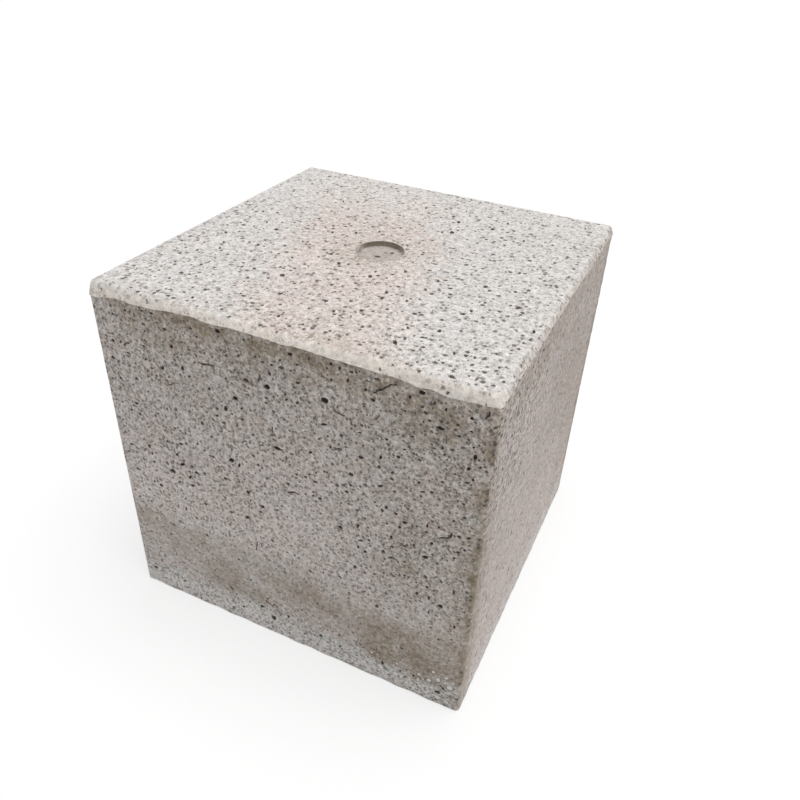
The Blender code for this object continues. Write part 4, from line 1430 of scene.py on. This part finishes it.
class Wiring:
    """A node tree under construction, whose nodes stand in columns of five."""

    COLUMN = 190
    ROW = 170
    ROWS = 5

    def __init__(self, tree):
        self.tree = tree
        self.made = 0

    def add(self, kind, settings=None, **inputs):
        """Adds a node with its settings, and sets or links its inputs. Input names have _ for a space."""
        node = self.tree.nodes.new(kind)
        column, row = divmod(self.made, self.ROWS)
        node.location = (column * self.COLUMN, -row * self.ROW)
        self.made += 1
        for name, value in (settings or {}).items():
            setattr(node, name, value)
        for name, value in inputs.items():
            self.feed(node.inputs[name.replace("_", " ")], value)
        return node

    def feed(self, socket, value):
        """Links a socket to another one, or sets it to a value."""
        if isinstance(value, bpy.types.NodeSocket):
            self.tree.links.new(value, socket)
        elif socket.type == "RGBA":
            socket.default_value = (*value[:3], 1.0)
        else:
            socket.default_value = value

    def maths(self, operation, *values):
        """The result of a sum on values or sockets."""
        node = self.add("ShaderNodeMath", {"operation": operation})
        for socket, value in zip(node.inputs, values):
            self.feed(socket, value)
        return node.outputs[0]

    def weigh(self, total, *amounts):
        """total plus each value times its amount."""
        for value, amount in amounts:
            total = self.maths("MULTIPLY_ADD", value, amount, total)
        return total

    def steps(self, value, low, high, start=0.0, end=1.0):
        """Runs value smoothly from start at low to end at high."""
        node = self.add("ShaderNodeMapRange", {"interpolation_type": "SMOOTHSTEP"}, Value=value)
        for name, number in (("From Min", low), ("From Max", high), ("To Min", start), ("To Max", end)):
            self.feed(node.inputs[name], number)
        return node.outputs[0]

    def mix(self, share, first, second, blend="MIX"):
        """The first colour with a share of the second laid over it."""
        node = self.add("ShaderNodeMix", {"data_type": "RGBA", "blend_type": blend})
        for number, value in ((0, share), (6, first), (7, second)):
            self.feed(node.inputs[number], value)
        return node.outputs[2]

    def mix_shaders(self, share, first, second):
        """The first shader with a share of the second mixed in."""
        node = self.add("ShaderNodeMixShader")
        for socket, value in zip(node.inputs, (share, first.outputs[0], second.outputs[0])):
            self.feed(socket, value)
        return node.outputs[0]

    def shade(self, colour, share):
        """colour times share."""
        grey = self.add("ShaderNodeCombineColor", None, Red=share, Green=share, Blue=share).outputs[0]
        return self.mix(1.0, colour, grey, "MULTIPLY")

    def clouds(self, place, scale, detail, roughness):
        """Noise from 0 to 1."""
        node = self.add("ShaderNodeTexNoise", None, Vector=place, Scale=scale)
        self.feed(node.inputs["Detail"], detail)
        self.feed(node.inputs["Roughness"], roughness)
        return node.outputs[0]

    def mark(self, name):
        """A value that the mesh holds at its corners."""
        return self.add("ShaderNodeAttribute", {"attribute_name": name}).outputs["Fac"]

    def group(self, tree, **inputs):
        """The outputs of a node group placed with its own values."""
        return self.add("ShaderNodeGroup", {"node_tree": tree}, **inputs).outputs


def new_group(name, inputs, outputs):
    """A shader node group whose sockets are (name, type, default) for inputs and (name, type) for outputs."""
    tree = bpy.data.node_groups.new(name, "ShaderNodeTree")
    for label, kind, default in inputs:
        socket = tree.interface.new_socket(label, in_out="INPUT", socket_type=kind)
        if default is not None:
            socket.default_value = default
    for label, kind in outputs:
        tree.interface.new_socket(label, in_out="OUTPUT", socket_type=kind)
    wiring = Wiring(tree)
    return wiring, wiring.add("NodeGroupInput").outputs, wiring.add("NodeGroupOutput").inputs


def sand_grain_group():
    """Two sizes of sand in the paste, as a signed value and as a height."""
    wiring, given, result = new_group(
        "sand_grain",
        [("Place", "NodeSocketVector", None), ("Grain", "NodeSocketFloat", 0.0012)],
        [("Value", "NodeSocketFloat"), ("Height", "NodeSocketFloat")],
    )
    scale = wiring.maths("DIVIDE", 1.0, given["Grain"])
    coarse_scale = wiring.maths("MULTIPLY", scale, 0.31)
    fine = wiring.maths("SUBTRACT", wiring.clouds(given["Place"], scale, 2.0, 0.65), 0.5)
    coarse = wiring.maths("SUBTRACT", wiring.clouds(given["Place"], coarse_scale, 1.0, 0.5), 0.5)
    wiring.feed(result["Value"], wiring.maths("MULTIPLY", wiring.maths("ADD", coarse, fine), 2.4))
    wiring.feed(result["Height"], wiring.weigh(fine, (coarse, 1.6)))
    return wiring.tree


def flecks_group():
    """Ragged flecks scattered through the concrete, cut where the surface meets them."""
    wiring, given, result = new_group(
        "flecks",
        [
            ("Place", "NodeSocketVector", None),
            ("Spacing", "NodeSocketFloat", 0.003),
            ("Reach", "NodeSocketFloat", 0.3),
            ("Share", "NodeSocketFloat", 0.5),
            ("Softness", "NodeSocketFloat", 0.08),
        ],
        [("Mask", "NodeSocketFloat"), ("Chance", "NodeSocketFloat"), ("Hue", "NodeSocketFloat")],
    )
    scale = wiring.maths("DIVIDE", 1.0, given["Spacing"])
    warp_scale = wiring.maths("MULTIPLY", scale, 2.2)
    warp = wiring.add("ShaderNodeTexNoise", None, Vector=given["Place"], Scale=warp_scale, Roughness=0.70)
    pull = wiring.maths("MULTIPLY", given["Spacing"], 0.95)
    pulls = wiring.add("ShaderNodeCombineXYZ", None, X=pull, Y=pull, Z=pull).outputs[0]
    warped = wiring.add("ShaderNodeVectorMath", {"operation": "MULTIPLY_ADD"})
    for socket, value in zip(warped.inputs, (warp.outputs["Color"], pulls, given["Place"])):
        wiring.feed(socket, value)
    cells = wiring.add("ShaderNodeTexVoronoi", None, Vector=warped.outputs[0], Scale=scale)
    chances = wiring.add("ShaderNodeSeparateColor", None, Color=cells.outputs["Color"])
    reach = wiring.maths("MULTIPLY", given["Reach"], wiring.steps(chances.outputs[1], 0.0, 1.0, 0.45, 1.0))
    edge = wiring.maths("SUBTRACT", reach, cells.outputs["Distance"])
    spot = wiring.steps(edge, -0.01, given["Softness"])
    kept = wiring.maths("LESS_THAN", chances.outputs[0], given["Share"])
    wiring.feed(result["Mask"], wiring.maths("MULTIPLY", spot, kept))
    wiring.feed(result["Chance"], chances.outputs[2])
    wiring.feed(result["Hue"], wiring.maths("FRACT", wiring.maths("MULTIPLY", chances.outputs[2], 17.3)))
    return wiring.tree


def mottle_group():
    """Cloudy unevenness of the paste, from -1 to 1."""
    wiring, given, result = new_group(
        "paste_mottle",
        [("Place", "NodeSocketVector", None), ("Patch", "NodeSocketFloat", 0.03)],
        [("Value", "NodeSocketFloat")],
    )
    scale = wiring.maths("DIVIDE", 1.0, given["Patch"])
    cloud = wiring.clouds(given["Place"], scale, 4.0, 0.62)
    value = wiring.weigh(-1.6, (cloud, 3.2))
    wiring.feed(result["Value"], wiring.maths("MAXIMUM", wiring.maths("MINIMUM", value, 1.0), -1.0))
    return wiring.tree


def new_material(name):
    """A material without a shader yet, its wiring, and the place of each of its points on the object."""
    material = bpy.data.materials.new(name)
    material.use_nodes = True
    material.node_tree.nodes.clear()
    wiring = Wiring(material.node_tree)
    return material, wiring, wiring.add("ShaderNodeTexCoord").outputs["Object"]


def facing_of(wiring):
    """The way the surface faces on the object: its shares along x, y and z."""
    normal = wiring.add("ShaderNodeTexCoord").outputs["Normal"]
    return wiring.add("ShaderNodeSeparateXYZ", None, Vector=normal).outputs


def finish_material(wiring, colour, roughness, height, bump_distance):
    """Joins the colour, roughness and relief to a Principled shader."""
    bump = wiring.add("ShaderNodeBump", None, Height=height, Distance=bump_distance, Strength=1.0)
    shader = wiring.add("ShaderNodeBsdfPrincipled", None, Base_Color=colour, Normal=bump.outputs[0])
    wiring.feed(shader.inputs["Roughness"], roughness)
    wiring.feed(shader.inputs["Specular IOR Level"], 0.25)
    wiring.add("ShaderNodeOutputMaterial", None, Surface=shader.outputs[0])


def cast_material(finish, groups):
    """The bare faces and the tooled arris: paste, stains, sand of three kinds, dark flecks with painted shade
    in their pinholes, and cream with a painted highlight on the arris.
    """
    material, wiring, place = new_material("cast_concrete")
    sand, flecks, mottle = groups
    upright = wiring.steps(facing_of(wiring)["Z"], 0.75, 0.30)
    grain = wiring.group(sand, Place=place, Grain=0.0011)
    broad, small, tiny = (
        wiring.group(mottle, Place=place, Patch=patch)["Value"] for patch in (0.060, 0.013, 0.0055)
    )
    stain, lip, open_share, pale, foot, sandy, warm = (
        wiring.mark(name) for name in ("stain", "lip", "open", "pale", "foot", "sand", "warm")
    )

    warm = wiring.weigh(warm, (small, 0.42), (tiny, 0.36), (foot, -0.55))
    colour = wiring.mix(wiring.steps(warm, 0.0, 1.0), finish.cool_paste, finish.warm_paste)
    # The lip's trowel cream, brighter than the top as a painted highlight on its slope
    cream_and_highlight = wiring.steps(wiring.weigh(lip, (tiny, 0.32)), 0.10, 1.0, 0.0, 0.85)
    patchy = wiring.maths("MAXIMUM", wiring.weigh(0.90, (broad, 0.20), (small, 0.62), (tiny, 0.40)), 0.0)
    soiled = wiring.maths("MULTIPLY", stain, patchy)
    soiled = wiring.maths("MULTIPLY", soiled, wiring.weigh(1.0, (cream_and_highlight, -0.9)))
    colour = wiring.mix(soiled, colour, finish.stain)
    colour = wiring.mix(cream_and_highlight, colour, finish.lip_cream_and_highlight)

    bare = wiring.weigh(1.0, (cream_and_highlight, -0.58))
    shown = wiring.maths("MULTIPLY", sandy, bare)
    contrast = wiring.maths("MULTIPLY", grain["Value"], shown)
    blotched = wiring.maths("MULTIPLY", tiny, shown)
    cloudy = wiring.maths("MULTIPLY", wiring.maths("ADD", small, broad), upright)
    # pale lightens pale patches of the concrete, and low on the right side it is painted bounce light
    light = wiring.weigh(
        1.0, (contrast, 0.62), (shown, 0.08), (blotched, 0.13), (cloudy, -0.115), (small, 0.05),
        (broad, 0.04), (pale, 0.12), (foot, 0.10),
    )
    colour = wiring.shade(colour, light)

    pale_share = wiring.maths("MULTIPLY", shown, 0.72)
    grains = wiring.group(flecks, Place=place, Spacing=0.0027, Reach=0.66, Share=pale_share, Softness=0.18)
    strength = wiring.steps(grains["Chance"], 0.0, 1.0, 0.08, 0.78)
    strength = wiring.maths("MULTIPLY", strength, wiring.weigh(1.0, (soiled, -0.7)))
    colour = wiring.mix(wiring.maths("MULTIPLY", grains["Mask"], strength), colour, finish.pale_grain)
    for spacing, share, most, softness in ((0.0033, 0.74, 0.80, 0.18), (0.0021, 0.76, 0.88, 0.16)):
        dull_share = wiring.maths("MULTIPLY", shown, share)
        grains = wiring.group(
            flecks, Place=place, Spacing=spacing, Reach=0.62, Share=dull_share, Softness=softness
        )
        strength = wiring.maths("MULTIPLY", wiring.steps(grains["Chance"], 0.0, 1.0, 0.06, most), bare)
        dull_mask = wiring.maths("MULTIPLY", grains["Mask"], strength)
        tint = wiring.mix(wiring.steps(grains["Hue"], 0.3, 0.7), finish.dull_grain, finish.grey_grain)
        colour = wiring.mix(dull_mask, colour, tint)
    # Dark dots thickest where air holes crowd: pinholes whose shade is painted
    dot_share = wiring.maths("MULTIPLY", wiring.maths("MULTIPLY", open_share, bare), bare)
    dot_share = wiring.weigh(0.03, (dot_share, 0.98))
    dot_reach = wiring.weigh(0.355, (open_share, 0.16))
    dots = wiring.group(flecks, Place=place, Spacing=0.0033, Reach=dot_reach, Share=dot_share, Softness=0.13)
    dot_mask = wiring.maths("MULTIPLY", dots["Mask"], wiring.steps(dots["Chance"], 0.0, 1.0, 0.26, 1.0))
    colour = wiring.mix(dot_mask, colour, finish.dark_fleck_and_pinhole_shade)

    relief = wiring.maths("MULTIPLY", grain["Height"], wiring.maths("MULTIPLY", shown, bare))
    relief = wiring.weigh(relief, (dull_mask, -0.5), (dot_mask, -0.8))
    finish_material(wiring, colour, wiring.weigh(finish.roughness, (cream_and_highlight, -0.08)), relief, 0.00032)
    return material


# The air holes' bare mouths as a share of the warm paste: painted shade on their walls
MOUTH_PAINTED_SHADE = 0.66


def hole_material(finish, groups):
    """The inside of the air holes and cracks: bare paste in painted shade at the mouth, dirty and in deeper
    painted shade below.
    """
    material, wiring, place = new_material("air_hole_concrete")
    sand, _, mottle = groups
    grain = wiring.group(sand, Place=place, Grain=0.0007)
    cloud = wiring.group(mottle, Place=place, Patch=0.004)["Value"]
    # Painted shade with dirt: darker down each hole as its hole mark grows
    deep = wiring.steps(wiring.weigh(wiring.mark("hole"), (cloud, 0.15)), 0.0, 0.85)
    colour = wiring.mix(deep, finish.warm_paste * MOUTH_PAINTED_SHADE, finish.hole_dirt_and_shade)
    colour = wiring.shade(colour, wiring.weigh(1.0, (grain["Value"], 0.25)))
    finish_material(wiring, colour, 0.95, grain["Height"], 0.0002)
    return material


def stone_material(finish, groups):
    """The bare stones: pale quartz and sandstone, dirty and in painted shade where they go down into the
    paste.
    """
    material, wiring, place = new_material("bare_stone")
    sand, _, mottle = groups
    grain = wiring.group(sand, Place=place, Grain=0.0008)
    kind = wiring.group(mottle, Place=place, Patch=0.009)["Value"]
    colour = wiring.mix(wiring.steps(kind, -1.0, -0.2), finish.warm_paste, finish.bare_stone)
    # Dirt and painted shade in the gap where the stone goes down into the paste
    colour = wiring.mix(wiring.steps(wiring.mark("hole"), 0.25, 0.85), colour, finish.hole_dirt_and_shade)
    colour = wiring.shade(colour, wiring.weigh(1.0, (grain["Value"], 0.12)))
    finish_material(wiring, colour, 0.80, grain["Height"], 0.0001)
    return material


def recess_material(finish, groups):
    """The recess: a darker grey floor, and painted shade with dirt on the wall along its back."""
    material, wiring, place = new_material("recess_concrete")
    sand, flecks, mottle = groups
    grain = wiring.group(sand, Place=place, Grain=0.0009)
    cloud = wiring.group(mottle, Place=place, Patch=0.007)["Value"]
    facing = facing_of(wiring)
    # Painted shade with dirt on the steep wall that faces front and right, fading where the wall turns aside
    steep = wiring.steps(facing["Z"], 0.80, 0.35)
    towards = wiring.weigh(0.0, (facing["Y"], -0.92), (facing["X"], 0.40))
    wall = wiring.maths("MULTIPLY", steep, wiring.steps(towards, 0.25, 0.75))
    colour = wiring.mix(wall, finish.recess_grey, finish.recess_wall_dirt_and_shade)
    colour = wiring.shade(colour, wiring.weigh(1.0, (grain["Value"], 0.25), (cloud, 0.14)))
    dots = wiring.group(flecks, Place=place, Spacing=0.0034, Reach=0.42, Share=0.6, Softness=0.12)["Mask"]
    colour = wiring.mix(wiring.maths("MULTIPLY", dots, 0.45), colour, finish.dull_grain)
    finish_material(wiring, colour, 0.95, wiring.weigh(grain["Height"], (dots, -0.6)), 0.0003)
    return material


class PIERBLOCK_OT_cast_block(bpy.types.Operator):
    """Builds the casting's detailed surface in place of the plain block"""

    bl_idname = "pierblock.cast_block"
    bl_label = "Cast the block"

    def execute(self, context):
        finish = context.scene.pier_block_finish
        piece = bpy.data.objects.new(PIECE_NAME, casting_mesh(context.scene.pier_block_sizes))
        context.scene.collection.objects.link(piece)
        groups = sand_grain_group(), flecks_group(), mottle_group()
        for make in (cast_material, hole_material, recess_material, stone_material):
            piece.data.materials.append(make(finish, groups))
        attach(piece, "root")
        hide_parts("pier_block")
        return {"FINISHED"}


def white_backdrop_share(wiring):
    """1 for a look from the camera, a gloss or a clear surface, and 0 for the light itself."""
    path = wiring.add("ShaderNodeLightPath").outputs
    seen = wiring.maths("MAXIMUM", path["Is Camera Ray"], path["Is Glossy Ray"])
    return wiring.maths("MAXIMUM", seen, path["Is Transmission Ray"])


def floor_material(studio):
    """A pale matt floor that shows white, with the block's shadow on it."""
    material, wiring, place = new_material("studio_floor_paint")
    cloud = wiring.clouds(place, 1.3, 1.0, 0.5)
    colour = wiring.shade(studio.floor_colour, wiring.steps(cloud, 0.3, 0.7, 0.985, 1.0))
    seen = white_backdrop_share(wiring)
    colour = wiring.mix(seen, colour, WHITE)
    paint = wiring.add("ShaderNodeBsdfDiffuse", None, Color=colour)
    glow = wiring.add("ShaderNodeEmission", None, Color=WHITE, Strength=1.0)
    shown = wiring.mix_shaders(wiring.maths("MULTIPLY", seen, 1.0 - studio.shadow_share), paint, glow)
    wiring.add("ShaderNodeOutputMaterial", None, Surface=shown)
    return material


def build_floor(studio):
    """The floor, a little below the block's foot."""
    bm = bmesh.new()
    bmesh.ops.create_grid(bm, x_segments=1, y_segments=1, size=studio.floor_size / 2)
    mesh = bpy.data.meshes.new("studio_floor")
    bm.to_mesh(mesh)
    bm.free()
    floor = bpy.data.objects.new("studio_floor", mesh)
    floor.location.z = -MICRON * 20
    bpy.context.scene.collection.objects.link(floor)
    mesh.materials.append(floor_material(studio))


def build_lamp(studio):
    """One broad soft light overhead."""
    data = bpy.data.lights.new("overhead_light", "SUN")
    data.energy = studio.lamp_strength
    data.angle = studio.lamp_spread
    lamp = bpy.data.objects.new("overhead_light", data)
    lamp.location.z = 3 * HEIGHT
    lamp.rotation_euler.y = studio.lamp_lean
    bpy.context.scene.collection.objects.link(lamp)


def build_sky(studio):
    """Even light from all round, which shows white behind the floor."""
    world = bpy.data.worlds.new("studio_sky")
    world.use_nodes = True
    world.node_tree.nodes.clear()
    wiring = Wiring(world.node_tree)
    light = wiring.add("ShaderNodeBackground", None, Color=WHITE, Strength=studio.sky_strength)
    white = wiring.add("ShaderNodeBackground", None, Color=WHITE, Strength=1.0)
    shown = wiring.mix_shaders(white_backdrop_share(wiring), light, white)
    wiring.add("ShaderNodeOutputWorld", None, Surface=shown)
    bpy.context.scene.world = world


class PIERBLOCK_OT_set_stage(bpy.types.Operator):
    """Adds the pale floor, the broad light overhead and the even sky"""

    bl_idname = "pierblock.set_stage"
    bl_label = "Set the stage"

    def execute(self, context):
        studio = context.scene.pier_block_studio
        build_floor(studio)
        build_lamp(studio)
        build_sky(studio)
        context.scene.view_settings.view_transform = "Standard"
        return {"FINISHED"}


class PIERBLOCK_OT_set_camera(bpy.types.Operator):
    """Places the camera where the photograph was taken from"""

    bl_idname = "pierblock.set_camera"
    bl_label = "Set the camera"

    def execute(self, context):
        data = bpy.data.cameras.new("camera")
        data.lens = context.scene.pier_block_studio.focal_length
        data.sensor_width = 36.0
        data.clip_start = 0.01
        camera = bpy.data.objects.new("camera", data)
        camera.location = CAMERA_PLACE
        camera.rotation_mode = "QUATERNION"
        level = Vector((-math.sin(CAMERA_HEADING), math.cos(CAMERA_HEADING), 0.0)) * math.cos(CAMERA_FALL)
        gaze = level - Vector((0.0, 0.0, math.sin(CAMERA_FALL)))
        camera.rotation_quaternion = gaze.to_track_quat("-Z", "Y") @ Quaternion((0.0, 0.0, 1.0), CAMERA_ROLL)
        context.scene.collection.objects.link(camera)
        context.scene.camera = camera
        return {"FINISHED"}


class PIERBLOCK_PT_sidebar(bpy.types.Panel):
    """Lists the steps that dress the pier block"""

    bl_idname = "PIERBLOCK_PT_sidebar"
    bl_label = "Pier block"
    bl_space_type = "VIEW_3D"
    bl_region_type = "UI"
    bl_category = "Pier block"

    def draw(self, context):
        for operator in OPERATORS:
            self.layout.operator(operator.bl_idname)


OPERATORS = (PIERBLOCK_OT_set_camera, PIERBLOCK_OT_cast_block, PIERBLOCK_OT_set_stage)
SETTINGS = {
    "pier_block_sizes": CastingSizes,
    "pier_block_finish": ConcreteFinish,
    "pier_block_studio": StudioSettings,
}


def register():
    for name, settings in SETTINGS.items():
        bpy.utils.register_class(settings)
        setattr(bpy.types.Scene, name, PointerProperty(type=settings))
    for operator in OPERATORS:
        bpy.utils.register_class(operator)
    bpy.utils.register_class(PIERBLOCK_PT_sidebar)


def unregister():
    bpy.utils.unregister_class(PIERBLOCK_PT_sidebar)
    for operator in reversed(OPERATORS):
        bpy.utils.unregister_class(operator)
    for name, settings in SETTINGS.items():
        delattr(bpy.types.Scene, name)
        bpy.utils.unregister_class(settings)


def main():
    """Registers the add-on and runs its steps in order."""
    register()
    bpy.ops.pierblock.set_camera()
    bpy.ops.pierblock.cast_block()
    bpy.ops.pierblock.set_stage()


if __name__ == "__main__":
    main()
